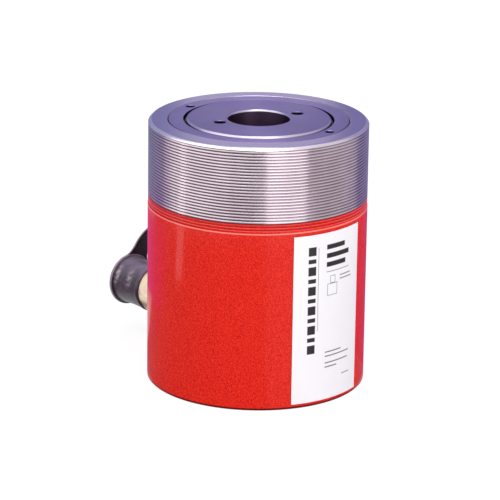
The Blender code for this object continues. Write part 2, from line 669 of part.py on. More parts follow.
def make_coupler_body():
    """The half coupler: spud in the port, neck, hexagon, collar, and nose with its socket."""
    spud_r = PORT_D / 2.0 - FIT
    body = turned("coupler_body", [
        (0.0, NOSE_END),
        (NOSE_D / 2.0 - NOSE_CHAMFER, NOSE_END),
        (NOSE_D / 2.0, NOSE_END - NOSE_CHAMFER),
        (NOSE_D / 2.0, COLLAR_END),
        (COLLAR_D / 2.0, COLLAR_END),
        (COLLAR_D / 2.0, HEX_END - FIT),
        (NECK_D / 2.0, HEX_END - FIT),
        (NECK_D / 2.0, BODY_R + FIT),
        (spud_r, BODY_R + FIT),
        (spud_r, SPUD_END + SPUD_CHAMFER),
        (spud_r - SPUD_CHAMFER, SPUD_END),
        (0.0, SPUD_END),
    ], COUPLER_AXIS, COUPLER_SEGMENTS, solid=True)
    groove_r = SOCKET_D / 2.0 - COUPLER_O_RING_PROUD + COUPLER_O_RING_SECTION + FIT
    groove_half = COUPLER_O_RING_SECTION / 2.0 + FIT
    clear = NOSE_CHAMFER
    bore = as_tool(turned("coupler_bore_cutter", [
        (0.0, NOSE_END + clear),
        (SOCKET_D / 2.0, NOSE_END + clear),
        (SOCKET_D / 2.0, COUPLER_O_RING_STATION + groove_half),
        (groove_r, COUPLER_O_RING_STATION + groove_half),
        (groove_r, COUPLER_O_RING_STATION - groove_half),
        (SOCKET_D / 2.0, COUPLER_O_RING_STATION - groove_half),
        (SOCKET_D / 2.0, SOCKET_FLOOR),
        (THROAT_D / 2.0, SOCKET_FLOOR),
        (THROAT_D / 2.0, THROAT_BACK),
        (CHAMBER_D / 2.0, THROAT_BACK),
        (CHAMBER_D / 2.0, SPUD_END - clear),
        (0.0, SPUD_END - clear),
    ], COUPLER_AXIS, COUPLER_SEGMENTS, CUTTERS, solid=True))
    combine(body, hex_blank(), "UNION")
    combine(body, bore, "DIFFERENCE")
    finish(body, COUPLER_BRASS)
    inner = SOCKET_D / 2.0 - COUPLER_O_RING_PROUD
    seal = o_ring("coupler_o_ring", inner, COUPLER_O_RING_SECTION, COUPLER_O_RING_STATION,
                  COUPLER_AXIS, COUPLER_SEGMENTS)
    finish(seal, SEAL_RUBBER)


def make_coupler_valve():
    """The poppet that closes the coupler, its spring, and the seat behind the spring."""
    stem_r = POPPET_STEM_D / 2.0
    nose_r = THROAT_D / 2.0 - POPPET_NOSE_GAP
    head_r = CHAMBER_D / 2.0 - POPPET_HEAD_GAP
    nose_tip = SOCKET_FLOOR + POPPET_NOSE_REACH
    poppet = turned("coupler_poppet", [
        (0.0, nose_tip),
        (nose_r - POPPET_NOSE_GAP, nose_tip),
        (nose_r, nose_tip - POPPET_NOSE_GAP),
        (nose_r, POPPET_FACE),
        (head_r, POPPET_FACE),
        (head_r, POPPET_BACK),
        (stem_r, POPPET_BACK),
        (stem_r, SPRING_SEAT_BACK - POPPET_STEM_TAIL),
        (0.0, SPRING_SEAT_BACK - POPPET_STEM_TAIL),
    ], COUPLER_AXIS, COUPLER_SEGMENTS, solid=True)
    finish(poppet, BARE_STEEL)
    seat = ring("coupler_spring_seat", stem_r + SPRING_SEAT_GAP, CHAMBER_D / 2.0 - FIT,
                SPRING_SEAT_BACK, SPRING_SEAT_FACE, COUPLER_AXIS, COUPLER_SEGMENTS)
    finish(seat, COUPLER_BRASS)
    spring = coil_spring("coupler_spring", SPRING_SEAT_FACE + FIT, POPPET_BACK - FIT,
                         COUPLER_SPRING_COILS, COUPLER_SPRING_MEAN_D / 2.0, COUPLER_SPRING_WIRE_D,
                         COUPLER_SPRING_POINTS_PER_COIL, COUPLER_AXIS)
    finish(spring, SPRING_STEEL)


def make_dust_cap():
    """The rubber cup over the coupler's nose, with the wider disc that the strap grows from."""
    groove_low = CAP_DISC_BACK - CAP_GROOVE_WIDTH
    groove_r = CAP_OUTER_R - CAP_GROOVE_DEPTH
    cap = turned("dust_cap", [
        (0.0, CAP_END),
        (CAP_DISC_R, CAP_END),
        (CAP_DISC_R, CAP_DISC_BACK),
        (groove_r, CAP_DISC_BACK),
        (groove_r, groove_low),
        (CAP_OUTER_R, groove_low),
        (CAP_OUTER_R, CAP_RIM),
        (CAP_INNER_R, CAP_RIM),
        (CAP_INNER_R, CAP_FLOOR),
        (0.0, CAP_FLOOR),
    ], COUPLER_AXIS, COUPLER_SEGMENTS, solid=True)
    finish(cap, BLACK_RUBBER)


def strap_path():
    """Centre line of the strap as (outwards, along the coupler) points, from cap to neck ring."""
    disc_station = (CAP_END + CAP_DISC_BACK) / 2.0
    start = CAP_DISC_R + FIT
    arch_base = start + STRAP_LEG
    arch_r = (disc_station - STRAP_RING_STATION) / 2.0
    arch_middle = (disc_station + STRAP_RING_STATION) / 2.0
    path = [(start, disc_station)]
    for step in range(STRAP_ARCH_STEPS + 1):
        angle = math.pi * step / STRAP_ARCH_STEPS
        path.append((arch_base + arch_r * math.sin(angle), arch_middle + arch_r * math.cos(angle)))
    ring_middle_r = NECK_D / 2.0 + FIT + STRAP_RING_WIDTH / 2.0
    path.append((ring_middle_r, STRAP_RING_STATION))
    return path


def strap_band():
    """The strap's flat band, as a ribbon with Solidify, made a mesh for the union."""
    ribbon = bpy.data.meshes.new("strap_band")
    shape = bmesh.new()
    rows = []
    for outwards, along in strap_path():
        rows.append([shape.verts.new((outwards, side * STRAP_WIDTH / 2.0, along)) for side in (-1.0, 1.0)])
    for first, second in zip(rows, rows[1:]):
        shape.faces.new((first[0], first[1], second[1], second[0]))
    shape.to_mesh(ribbon)
    shape.free()
    band = as_tool(add_piece("strap_band", ribbon, COUPLER_AXIS, CUTTERS))
    band.rotation_euler = (0.0, 0.0, -STRAP_ANGLE)
    thicken = band.modifiers.new("thickness", "SOLIDIFY")
    thicken.thickness = STRAP_THICKNESS
    thicken.offset = 0.0
    return band


def make_cap_strap():
    """The strap that keeps the cap on the coupler: a ring on the neck and the arched band."""
    inner = NECK_D / 2.0 + FIT
    strap = ring("cap_strap", inner, inner + STRAP_RING_WIDTH,
                 STRAP_RING_STATION - STRAP_RING_THICKNESS / 2.0,
                 STRAP_RING_STATION + STRAP_RING_THICKNESS / 2.0, COUPLER_AXIS, COUPLER_SEGMENTS)
    combine(strap, strap_band(), "UNION")
    finish(strap, BLACK_RUBBER)


def make_rating_label():
    """A blank label wrapped on the body, opposite the coupler."""
    half_angle = LABEL_WIDTH / BODY_R / 2.0
    top = THREAD_BOTTOM - LABEL_TOP_MARGIN
    mesh = bpy.data.meshes.new("rating_label")
    shape = bmesh.new()
    rows = []
    for step in range(LABEL_STEPS + 1):
        angle = -math.pi / 2.0 - half_angle + 2.0 * half_angle * step / LABEL_STEPS
        x = LABEL_INNER_R * math.cos(angle)
        y = LABEL_INNER_R * math.sin(angle)
        rows.append([shape.verts.new((x, y, height)) for height in (LABEL_BOTTOM, top)])
    for first, second in zip(rows, rows[1:]):
        shape.faces.new((first[0], second[0], second[1], first[1]))
    shape.to_mesh(mesh)
    shape.free()
    label = add_piece("rating_label", mesh, CYLINDER_AXIS, PARTS)
    thicken = label.modifiers.new("thickness", "SOLIDIFY")
    thicken.thickness = LABEL_THICKNESS
    thicken.offset = 1.0
    thicken.use_even_offset = True
    finish(label, LABEL_WHITE)


def settle(piece):
    """Turns a piece's modifiers into its mesh and shades it smooth between creases."""
    depsgraph = bpy.context.evaluated_depsgraph_get()
    mesh = bpy.data.meshes.new_from_object(piece.evaluated_get(depsgraph))
    mesh.shade_smooth()
    mesh.set_sharp_from_angle(angle=CREASE_ANGLE)
    piece.modifiers.clear()
    piece.data = mesh


clear_scene()
PARTS = new_collection("hollow_plunger_cylinder")
CUTTERS = new_collection("cutters")
CYLINDER_AXIS = add_axis("cylinder_axis", (0.0, AXIS_Y, 0.0))
COUPLER_AXIS = add_axis("coupler_axis", (0.0, AXIS_Y, PORT_Z), (-math.pi / 2.0, 0.0, 0.0))

make_cylinder_body()
make_center_tube()
make_spring_retainer()
make_return_spring()
make_plunger()
make_plunger_seals()
make_head_insert()
make_gland()
make_coupler_body()
make_coupler_valve()
make_dust_cap()
make_cap_strap()
make_rating_label()

bpy.context.view_layer.update()
for item in PARTS.objects:
    if item.type == "MESH":
        settle(item)
bpy.context.view_layer.update()
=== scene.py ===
"""The looks of the hollow plunger cylinder: fine meshes, finishes, light and camera.

Every mesh of the part is made in the row frame in metres, with its object at the origin, so the
Object coordinates that its finishes read are the row frame's own.
"""

import math

import bmesh
import bpy
from mathutils import Matrix, Vector


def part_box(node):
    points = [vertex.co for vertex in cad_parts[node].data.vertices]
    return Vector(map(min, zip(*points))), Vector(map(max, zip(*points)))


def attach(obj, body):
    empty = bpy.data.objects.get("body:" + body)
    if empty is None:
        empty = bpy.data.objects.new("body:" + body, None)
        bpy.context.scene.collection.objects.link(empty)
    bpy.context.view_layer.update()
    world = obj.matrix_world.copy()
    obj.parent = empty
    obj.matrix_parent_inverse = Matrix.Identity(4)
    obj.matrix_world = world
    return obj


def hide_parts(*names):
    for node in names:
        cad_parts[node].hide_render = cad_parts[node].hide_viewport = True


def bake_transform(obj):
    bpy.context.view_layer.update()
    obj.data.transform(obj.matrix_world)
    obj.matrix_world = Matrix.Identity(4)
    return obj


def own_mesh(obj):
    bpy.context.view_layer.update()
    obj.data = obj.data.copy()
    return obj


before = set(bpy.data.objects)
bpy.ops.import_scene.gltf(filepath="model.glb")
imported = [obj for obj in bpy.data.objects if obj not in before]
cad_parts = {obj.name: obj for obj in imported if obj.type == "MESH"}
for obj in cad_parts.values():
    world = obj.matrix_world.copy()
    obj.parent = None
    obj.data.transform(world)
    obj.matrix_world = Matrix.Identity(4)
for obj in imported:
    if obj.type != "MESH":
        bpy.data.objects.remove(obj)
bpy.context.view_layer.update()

# Sizes that the frame gives
BODY_LOW, BODY_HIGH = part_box("cylinder_body")
GLAND_LOW, GLAND_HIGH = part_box("gland_nut")
HEAD_LOW, HEAD_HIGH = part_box("head_insert")
TUBE_LOW, TUBE_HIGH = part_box("center_tube")
PLUNGER_LOW, PLUNGER_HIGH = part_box("plunger")
WIPER_LOW, WIPER_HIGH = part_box("rod_wiper")
COUPLER_LOW, COUPLER_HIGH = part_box("coupler_body")
POPPET_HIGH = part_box("coupler_poppet")[1]
CAP_LOW, CAP_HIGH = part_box("dust_cap")
LABEL_LOW, LABEL_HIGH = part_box("rating_label")

AXIS_Y = (BODY_LOW.y + BODY_HIGH.y) / 2.0
PORT_Z = (CAP_LOW.z + CAP_HIGH.z) / 2.0
BODY_R = (BODY_HIGH.x - BODY_LOW.x) / 2.0
BODY_TOP = BODY_HIGH.z
GLAND_R = (GLAND_HIGH.x - GLAND_LOW.x) / 2.0
HEAD_R = (HEAD_HIGH.x - HEAD_LOW.x) / 2.0
HEAD_TOP = HEAD_HIGH.z
PISTON_R = (PLUNGER_HIGH.x - PLUNGER_LOW.x) / 2.0
PLUNGER_TOP = PLUNGER_HIGH.z
TUBE_FLANGE_R = (TUBE_HIGH.x - TUBE_LOW.x) / 2.0
CAP_END = CAP_HIGH.y - AXIS_Y
CAP_RIM = CAP_LOW.y - AXIS_Y
CAP_DISC_R = (CAP_HIGH.x - CAP_LOW.x) / 2.0
NOSE_END = COUPLER_HIGH.y - AXIS_Y
SPUD_END = COUPLER_LOW.y - AXIS_Y

# Sizes of what the frame's boxes don't show
FIT = 0.0003
HOLE_R = 0.02143
HOLE_CHAMFER = 0.001
TUBE_R = 0.02857
TUBE_FLANGE_TOP = 0.0060
BORE_R = PISTON_R + FIT
BASE_THICKNESS = 0.020
BASE_LEDGE = 0.0063             # the top of the recess for the tube's flange
TOP_CHAMFER = 0.002
RIM_ROUND = 0.0011
BASE_CHAMFER = 0.001
EDGE_BREAK = 0.0005
THREAD_PITCH = 0.0254 / 12.0
THREAD_TURNS = 27
THREAD_CREST_DROP = 0.0002
THREAD_FORM = (                 # share of a pitch below the crest's top, and how deep it is there
    (0.0, 0.0), (0.14, 0.0), (0.22, 0.00006), (0.30, 0.00019), (0.41, 0.00052), (0.47, 0.00060),
    (0.53, 0.00060), (0.59, 0.00052), (0.70, 0.00019), (0.78, 0.00006), (0.86, 0.0),
)
HIGHLIT_THREAD_FROM = -0.364       # turns from +X, where a painted highlight lightens the thread's dark roots
HIGHLIT_THREAD_TO = -0.19
THREAD_TOP = BODY_TOP - TOP_CHAMFER
THREAD_BOTTOM = THREAD_TOP - THREAD_TURNS * THREAD_PITCH
PAINT_TOP = THREAD_BOTTOM + 3.0 * THREAD_PITCH
PAINT_EDGE = 0.00012
GLAND_INNER_R = HEAD_R + 0.0008
GLAND_OPENING_R = HEAD_R + 0.002
WIPER_GROOVE_R = HEAD_R + 0.0028
HEAD_CHAMFER = 0.0012
SPIGOT_STEP = 0.00245
SPIGOT_WALL = 0.0039
PLUNGER_WALL = 0.00875
COUNTERBORE_STEP = 0.00275
COUNTERBORE_FLOOR = 0.1580
SPRING_FLOOR = 0.0420
PISTON_TOP = 0.0660
PISTON_FOOT_R = 0.0450
PISTON_FOOT_TOP = 0.0400
HEAD_SPANNER_CIRCLE_R = 0.0296
HEAD_SPANNER_R = 0.004
HEAD_SPANNER_DEPTH = 0.008
HEAD_SPANNER_ANGLE = math.radians(-15.0)
GLAND_SPANNER_R = 0.003
GLAND_SPANNER_DEPTH = 0.006
GLAND_SPANNER_ANGLE = math.radians(106.0)
PORT_R = 0.0089
PORT_DEPTH = 0.014
NECK_R = 0.010
NECK_LENGTH = 0.0158
HEX_AF = 0.03175
COLLAR_R = 0.0164
COLLAR_EDGE = 0.0004
COLLAR_LENGTH = 0.0008
NOSE_R = 0.014
NOSE_CHAMFER = 0.0010
NOSE_PLAIN = 0.004              # no turn of the nose's thread starts nearer to the cap's rim
NOSE_THREAD_PITCH = 0.0018
NOSE_THREAD_DEPTH = 0.0008
SOCKET_R = 0.0095
VALVE_R = 0.0052
VALVE_SEAT = 0.1157             # heights along the coupler count from the cylinder's axis
SOCKET_FLOOR = 0.1160
POPPET_R = 0.0042
POPPET_TIP_R = 0.0040
CAP_DISC_THICKNESS = 0.0024
CAP_CUP_STEP = 0.0016           # of the cup's wall, inwards from the disc's edge
CAP_DISH_R = 0.0120
CAP_DISH_EDGE_R = 0.0130
CAP_DISH_DEPTH = 0.0004
CAP_NECK_STEP = 0.0004
STRAP_ANGLE = math.radians(65.0)
STRAP_WIDTH = 0.014
STRAP_THICKNESS = 0.002
STRAP_RING_WIDTH = 0.0047
STRAP_RING_THICKNESS = 0.0024
DISC_FILLET_R = 0.014
RING_FILLET_R = 0.004
LABEL_WIDTH = 0.059
LABEL_THICKNESS = 0.0003
SPRING_COILS = 6
SPRING_END_RISE = 2.2           # of a closed end coil, in wire radii
PLUNGER_SPRING_R = 0.0349
PLUNGER_SPRING_WIRE_R = 0.0035
POPPET_SPRING_R = 0.0042
POPPET_SPRING_WIRE_R = 0.0006

# Smoothness of the meshes
BODY_COLUMNS = 180
CAP_COLUMNS = 96
SMALL_COLUMNS = 72
HOLE_COLUMNS = 48
LABEL_COLUMNS = 48
STRAP_SIDES = 16
STRAP_EDGE_SIDES = (0, 6, 7, 8, 14, 15)
WIRE_SIDES = 10
COIL_STEPS = 24
ROUND_STEPS = 4
HEX_STEPS = 6
CREASE = math.radians(33.0)
MERGE = 0.000002

CYLINDER = Matrix.Translation((0.0, AXIS_Y, 0.0))
COUPLER = Matrix.Translation((0.0, AXIS_Y, PORT_Z)) @ Matrix.Rotation(-math.pi / 2.0, 4, "X")

# The photograph's view
VIEW_AZIMUTH = math.radians(-41.0)
VIEW_ELEVATION = math.radians(17.56)
VIEW_ROLL = math.radians(0.805)
VIEW_DISTANCE = 2.0574
VIEW_LENS = 212.6
VIEW_SIDE_STEP = -0.0048        # of the point looked at, to the right of the cylinder's axis
VIEW_HEIGHT = 0.0910
CARD_DISTANCE = 0.46            # of the upright cards that the collar mirrors, from the axis
CARD_FOOT = 0.0004
MAT_HEIGHT = 0.0010
CARD_STEPS = 12
RIGHT = Vector((math.cos(VIEW_AZIMUTH), math.sin(VIEW_AZIMUTH), 0.0))
AHEAD = Vector((-math.sin(VIEW_AZIMUTH), math.cos(VIEW_AZIMUTH), 0.0))
AXIS_FOOT = Vector((0.0, AXIS_Y, 0.0))


def seen(red, green, blue):
    """A colour as it looks on a screen, 0 to 255, in the linear values that shaders use."""
    linear = []
    for value in (red, green, blue):
        share = value / 255.0
        linear.append(share / 12.92 if share <= 0.04045 else ((share + 0.055) / 1.055) ** 2.4)
    return (*linear, 1.0)


FACE_TINT = (0.70, 0.67, 0.80, 1.0)     # what steel mirrors at a glancing angle takes this tint
# The colour of a painted highlight on the head's chamfers
CHAMFER_HIGHLIGHT_STEEL = seen(196, 190, 208)
PLAIN_STEEL = seen(150, 144, 160)
# Painted shade: dark steel for the liner deep in the centre hole; the poppet uses it too
DARK_STEEL = seen(70, 53, 72)
PLATED_STEEL = seen(206, 206, 212)


class Signal:
    """A socket that does sums: an expression on signals adds its Math nodes."""

    def __init__(self, finish, socket):
        self.finish = finish
        self.socket = socket

    def sum(self, operation, *values):
        return self.finish.add("ShaderNodeMath", {"operation": operation}, dict(enumerate(values)))

    def __add__(self, other):
        return self.sum("ADD", self, other)

    def __sub__(self, other):
        return self.sum("SUBTRACT", self, other)

    def __rsub__(self, other):
        return self.sum("SUBTRACT", other, self)

    def __mul__(self, other):
        return self.sum("MULTIPLY", self, other)

    def __truediv__(self, other):
        return self.sum("DIVIDE", self, other)

    __radd__ = __add__
    __rmul__ = __mul__

    def root(self):
        return self.sum("SQRT", self)

    def sine(self):
        return self.sum("SINE", self)

    def fraction(self):
        return self.sum("FRACT", self)


class Finish:
    """A procedural material for one of the object's surfaces."""

    def __init__(self, name):
        self.material = bpy.data.materials.new(name)
        self.material.use_nodes = True
        self.tree = self.material.node_tree
        self.tree.nodes.clear()
        place = self.add("ShaderNodeTexCoord", output="Object")
        self.place = self.add("ShaderNodeVectorMath", {"operation": "SUBTRACT"},
                              {0: place, 1: (0.0, AXIS_Y, 0.0)})
        self.x = self.add("ShaderNodeSeparateXYZ", inputs={0: self.place}, output="X")
        self.y = self.add("ShaderNodeSeparateXYZ", inputs={0: self.place}, output="Y")
        self.z = self.add("ShaderNodeSeparateXYZ", inputs={0: self.place}, output="Z")

    def add(self, kind, settings=None, inputs=None, output=0):
        """Adds a node: its settings first, then the values or links of its sockets."""
        node = self.tree.nodes.new(kind)
        for name, value in (settings or {}).items():
            setattr(node, name, value)
        for key, value in (inputs or {}).items():
            if isinstance(value, Signal):
                self.tree.links.new(value.socket, node.inputs[key])
            else:
                node.inputs[key].default_value = value
        return Signal(self, node.outputs[output])

    def rise(self, value, low, high):
        """0 below low, 1 above high, smooth between."""
        return self.add("ShaderNodeMapRange", {"interpolation_type": "SMOOTHSTEP"},
                        {"Value": value, "From Min": low, "From Max": high})

    def span(self, value, low, high, soft):
        """1 between low and high, 0 outside, with soft edges."""
        return self.rise(value, low - soft, low + soft) * (1.0 - self.rise(value, high - soft, high + soft))

    def mix(self, first, second, share):
        """A colour between two."""
        return self.add("ShaderNodeMix", {"data_type": "RGBA"}, {0: share, 6: first, 7: second}, output=2)

    def noise(self, scale, detail=2.0, roughness=0.5, stretch=(1.0, 1.0, 1.0)):
        """Cloudy noise from 0 to 1, scale in lumps a metre."""
        place = self.add("ShaderNodeVectorMath", {"operation": "MULTIPLY"}, {0: self.place, 1: stretch})
        return self.add("ShaderNodeTexNoise", None,
                        {"Vector": place, "Scale": scale, "Detail": detail, "Roughness": roughness})

    def radius(self):
        """Distance from the cylinder's axis."""
        return (self.x * self.x + self.y * self.y).root()

    def turn(self):
        """Angle about the cylinder's axis, in turns from +X, -0.5 to 0.5."""
        return self.y.sum("ARCTAN2", self.y, self.x) / (2.0 * math.pi)

    def bump(self, height, distance, strength=1.0):
        """The normals of a surface with this relief."""
        return self.add("ShaderNodeBump", None,
                        {"Height": height, "Distance": distance, "Strength": strength})

    def shader(self, **sockets):
        """A Principled shader, with its sockets by name, spaces as underscores."""
        names = {key.replace("_", " "): value for key, value in sockets.items()}
        return self.add("ShaderNodeBsdfPrincipled", None, names)

    def surface(self, **sockets):
        """The material of one Principled shader."""
        return self.close(self.shader(**sockets))

    def close(self, shader):
        """The material, ended with this shader."""
        end = self.tree.nodes.new("ShaderNodeOutputMaterial")
        self.tree.links.new(shader.socket, end.inputs["Surface"])
        return self.material


def put(name, shape, finish, body, replaced=(), crease=CREASE):
    """Makes the object of a finished mesh, and lets it ride on its body."""
    bmesh.ops.remove_doubles(shape, verts=shape.verts, dist=MERGE)
    bmesh.ops.dissolve_degenerate(shape, edges=shape.edges, dist=MERGE)
    bmesh.ops.recalc_face_normals(shape, faces=shape.faces)
    mesh = bpy.data.meshes.new(name)
    shape.to_mesh(mesh)
    shape.free()
    mesh.materials.append(finish)
    mesh.shade_smooth()
    mesh.set_sharp_from_angle(angle=crease)
    piece = bpy.data.objects.new(name, mesh)
    bpy.context.scene.collection.objects.link(piece)
    if body:
        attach(piece, body)
    if replaced:
        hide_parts(*replaced)
    return piece


def lattice(rows, close_rows=False, close_columns=False):
    """Quads over rows of points, all of one length."""
    shape = bmesh.new()
    grid = [[shape.verts.new(point) for point in row] for row in rows]
    if close_rows:
        grid.append(grid[0])
    for upper, lower in zip(grid, grid[1:]):
        if close_columns:
            upper = upper + upper[:1]
            lower = lower + lower[:1]
        for corner in range(len(upper) - 1):
            shape.faces.new((upper[corner], upper[corner + 1], lower[corner + 1], lower[corner]))
    return shape


def eased(corners):
    """An outline whose corners may have a third value, the length that rounding takes off.

    The outline counts as closed: its last corner turns towards its first. A rounded corner gets a
    point just before and just after it, so that long flats beside it shade flat.
    """
    outline = []
    for number, corner in enumerate(corners):
        here = Vector(corner[:2])
        ease = corner[2] if len(corner) > 2 else 0.0
        if ease == 0.0:
            outline.append(here)
            continue
        before, after = corners[number - 1], corners[(number + 1) % len(corners)]
        back, ahead = Vector(before[:2]) - here, Vector(after[:2]) - here
        first = here + back.normalized() * ease
        last = here + ahead.normalized() * ease
        if back.length > 4.0 * ease + FIT:
            outline.append(here + back.normalized() * (ease + FIT / 2.0))
        for step in range(ROUND_STEPS + 1):
            share = step / ROUND_STEPS
            left = 1.0 - share
            outline.append(first * left ** 2 + here * 2.0 * share * left + last * share ** 2)
        if ahead.length > 4.0 * ease + FIT:
            outline.append(here + ahead.normalized() * (ease + FIT / 2.0))
    return outline


def spot(about, radius, angle, height):
    """A point by its radius, angle and height about an axis."""
    return about @ Vector((radius * math.cos(angle), radius * math.sin(angle), height))


def ring_of(radius, height, columns, about):
    """Points of one ring about an axis."""
    return [spot(about, radius, 2.0 * math.pi * column / columns, height) for column in range(columns)]


def turned(corners, columns, about, solid=False):
    """A turned shape from (radius, height) corners; a solid one's outline starts and ends on the axis."""
    rows = [ring_of(radius, height, columns, about) for radius, height in eased(corners)]
    return lattice(rows, close_rows=not solid, close_columns=True)


def cut(piece, cutters):
    """Cuts shapes out of a piece, and keeps its finish and creases."""
    for shape in cutters:
        bmesh.ops.remove_doubles(shape, verts=shape.verts, dist=MERGE)
        bmesh.ops.recalc_face_normals(shape, faces=shape.faces)
        mesh = bpy.data.meshes.new("cutter")
        shape.to_mesh(mesh)
        shape.free()
        tool = bpy.data.objects.new("cutter", mesh)
        bpy.context.scene.collection.objects.link(tool)
        change = piece.modifiers.new("cut", "BOOLEAN")
        change.object = tool
        change.solver = "EXACT"
        bpy.context.view_layer.update()
        result = bpy.data.meshes.new_from_object(piece.evaluated_get(bpy.context.evaluated_depsgraph_get()))
        piece.modifiers.clear()
        piece.data = result
        bpy.data.objects.remove(tool, do_unlink=True)
    piece.data.shade_smooth()
    piece.data.set_sharp_from_angle(angle=CREASE)


def steel_finish(name, face, side, edge, face_z, outer_r, tint=(1.0, 1.0, 1.0, 1.0)):
    """Turned steel: coloured face with fine turning marks, chamfers lightened by a painted highlight, plain
    side, holes darkened by painted shade.
    """
    finish = Finish(name)
    radius = finish.radius()
    cloud = finish.noise(60.0, 4.0, 0.6)
    rings = (radius * (2.0 * math.pi / 0.00045) + finish.noise(900.0, 3.0) * 1.5).sine()
    below = 1.0 - finish.rise(finish.z, face_z - 0.0016, face_z - 0.0012)
    outer = finish.rise(radius, outer_r - 0.0015, outer_r - 0.0010)
    bore = 1.0 - finish.rise(radius, HOLE_R + 0.0008, HOLE_R + 0.0010)
    hole_shade = (1.0 - finish.rise(finish.z, face_z - 0.0005, face_z - 0.0002)) * (1.0 - outer) * (1.0 - bore)
    colour = finish.mix(face, seen(176, 170, 186), finish.rise(cloud, 0.3, 0.75) * 0.16 + rings * 0.03)
    # Painted highlight: the chamfers at the outer edge and at the bore take the edge colour
    colour = finish.mix(colour, edge, outer + bore)
    colour = finish.mix(colour, side, below * outer)
    # Painted shade inside the centre bore and the spanner holes
    colour = finish.mix(colour, seen(78, 60, 82), below * bore)
    colour = finish.mix(colour, seen(46, 34, 50), hole_shade)
    return finish.surface(Base_Color=colour, Metallic=1.0, Roughness=0.26 + cloud * 0.10 + below * 0.1,
                          Specular_Tint=tint, Anisotropic=0.7, Anisotropic_Rotation=0.25,
                          Normal=finish.bump(rings, 0.000012, 0.6))


def body_finish():
    """Red enamel up to the third thread, bare turned steel above it."""
    finish = Finish("red_enamel_and_bare_collar")
    outside = finish.rise(finish.radius(), BODY_R - 0.004, BODY_R - 0.003)
    cloud = finish.noise(45.0, 3.0)
    phase = ((THREAD_TOP - finish.z) / THREAD_PITCH - finish.turn() + 8.0).fraction()
    threaded = finish.span(finish.z, THREAD_BOTTOM, THREAD_TOP, 0.0001) * outside
    root = finish.span(phase, 0.36, 0.62, 0.10) * threaded
    steel = bare_collar(finish, cloud, phase, threaded, root, outside)
    enamel = red_enamel(finish, cloud, phase, threaded, root)
    below_line = 1.0 - finish.rise(finish.z, PAINT_TOP - PAINT_EDGE, PAINT_TOP + PAINT_EDGE)
    painted = below_line * outside * finish.rise(finish.z, 0.00002, 0.0002)
    return finish.close(finish.add("ShaderNodeMixShader", None, {0: painted, 1: steel, 2: enamel}))


def bare_collar(finish, cloud, phase, threaded, root, outside):
    """The collar's turned steel: old oil and painted shade in the thread's roots, lightened over a sector by
    a painted highlight; painted highlights on the crests and chamfer; a violet rim that is a painted
    reflection.
    """
    crest = (1.0 - finish.span(phase, 0.20, 0.80, 0.08)) * threaded
    rim = finish.rise(finish.z, BODY_TOP - 0.0001, BODY_TOP - 0.00002)
    bare = finish.mix(seen(174, 163, 171), seen(190, 180, 187), finish.rise(cloud, 0.35, 0.7))
    # Painted highlight: over this sector of turns the thread's roots are less dark
    highlit_roots = finish.span(finish.turn(), HIGHLIT_THREAD_FROM, HIGHLIT_THREAD_TO, 0.015)
    # Old oil and painted shade darken the thread's roots
    bare = finish.mix(bare, seen(80, 66, 80), root * (0.95 - highlit_roots * 0.73))
    # Painted highlight on the thread's crests
    bare = finish.mix(bare, seen(206, 196, 202), crest * 0.6)
    # Painted highlight on the top chamfer
    chamfer = finish.rise(finish.z, THREAD_TOP, THREAD_TOP + 0.0001) * outside
    bare = finish.mix(bare, seen(220, 212, 222), chamfer)
    # The rim's violet is a painted reflection of violet surroundings
    bare = finish.mix(bare, seen(168, 158, 194), rim)
    return finish.shader(Base_Color=bare, Metallic=1.0, Roughness=0.20 + cloud * 0.06 - crest * 0.08,
                         Specular_Tint=FACE_TINT)


def red_enamel(finish, cloud, phase, threaded, root):
    """Glossy red enamel with a fine mottle; painted shade and painted highlights along the threads that it
    covers, a painted highlight on the shoulder below them, painted shade at the foot.
    """
    grain = finish.noise(2600.0, 2.0, 0.6)
    mottle = finish.noise(1150.0, 3.0, 0.7)
    red = finish.mix(seen(188, 6, 12), seen(240, 52, 32), finish.rise(mottle * 0.5 + grain * 0.5, 0.41, 0.59))
    # Painted shade along the foot's downward chamfer
    foot = 1.0 - finish.rise(finish.z, BASE_CHAMFER * 1.3, BASE_CHAMFER * 2.3)
    lit_flank = finish.span(phase, 0.66, 0.86, 0.06) * threaded
    # Painted shade in the roots and a painted highlight on the up-facing flanks
    red = finish.mix(red, seen(140, 0, 14), root * 0.7)
    red = finish.mix(red, seen(255, 110, 108), lit_flank * 0.4)
    # Painted shade on the first painted turn, under the bare steel
    shaded = finish.span(finish.z, PAINT_TOP - 0.0009, PAINT_TOP + 0.0005, 0.0002)
    red = finish.mix(red, seen(130, 0, 14), shaded * 0.6)
    # Painted highlight on the shoulder below the thread
    lip_highlight = finish.span(finish.z, THREAD_BOTTOM - 0.0012, THREAD_BOTTOM - 0.0003, 0.0002)
    red = finish.mix(red, seen(255, 150, 140), lip_highlight * 0.7)
    return finish.shader(Base_Color=finish.mix(red, seen(64, 2, 8), foot * 0.9),
                         Roughness=0.34 + cloud * 0.06, IOR=1.1, Coat_Weight=0.34 * (1.0 - foot),
                         Coat_Roughness=0.11,
                         Sheen_Weight=0.12, Sheen_Roughness=0.30, Sheen_Tint=seen(255, 60, 200),
                         Normal=finish.bump(finish.noise(1500.0), 0.00004, 0.25))


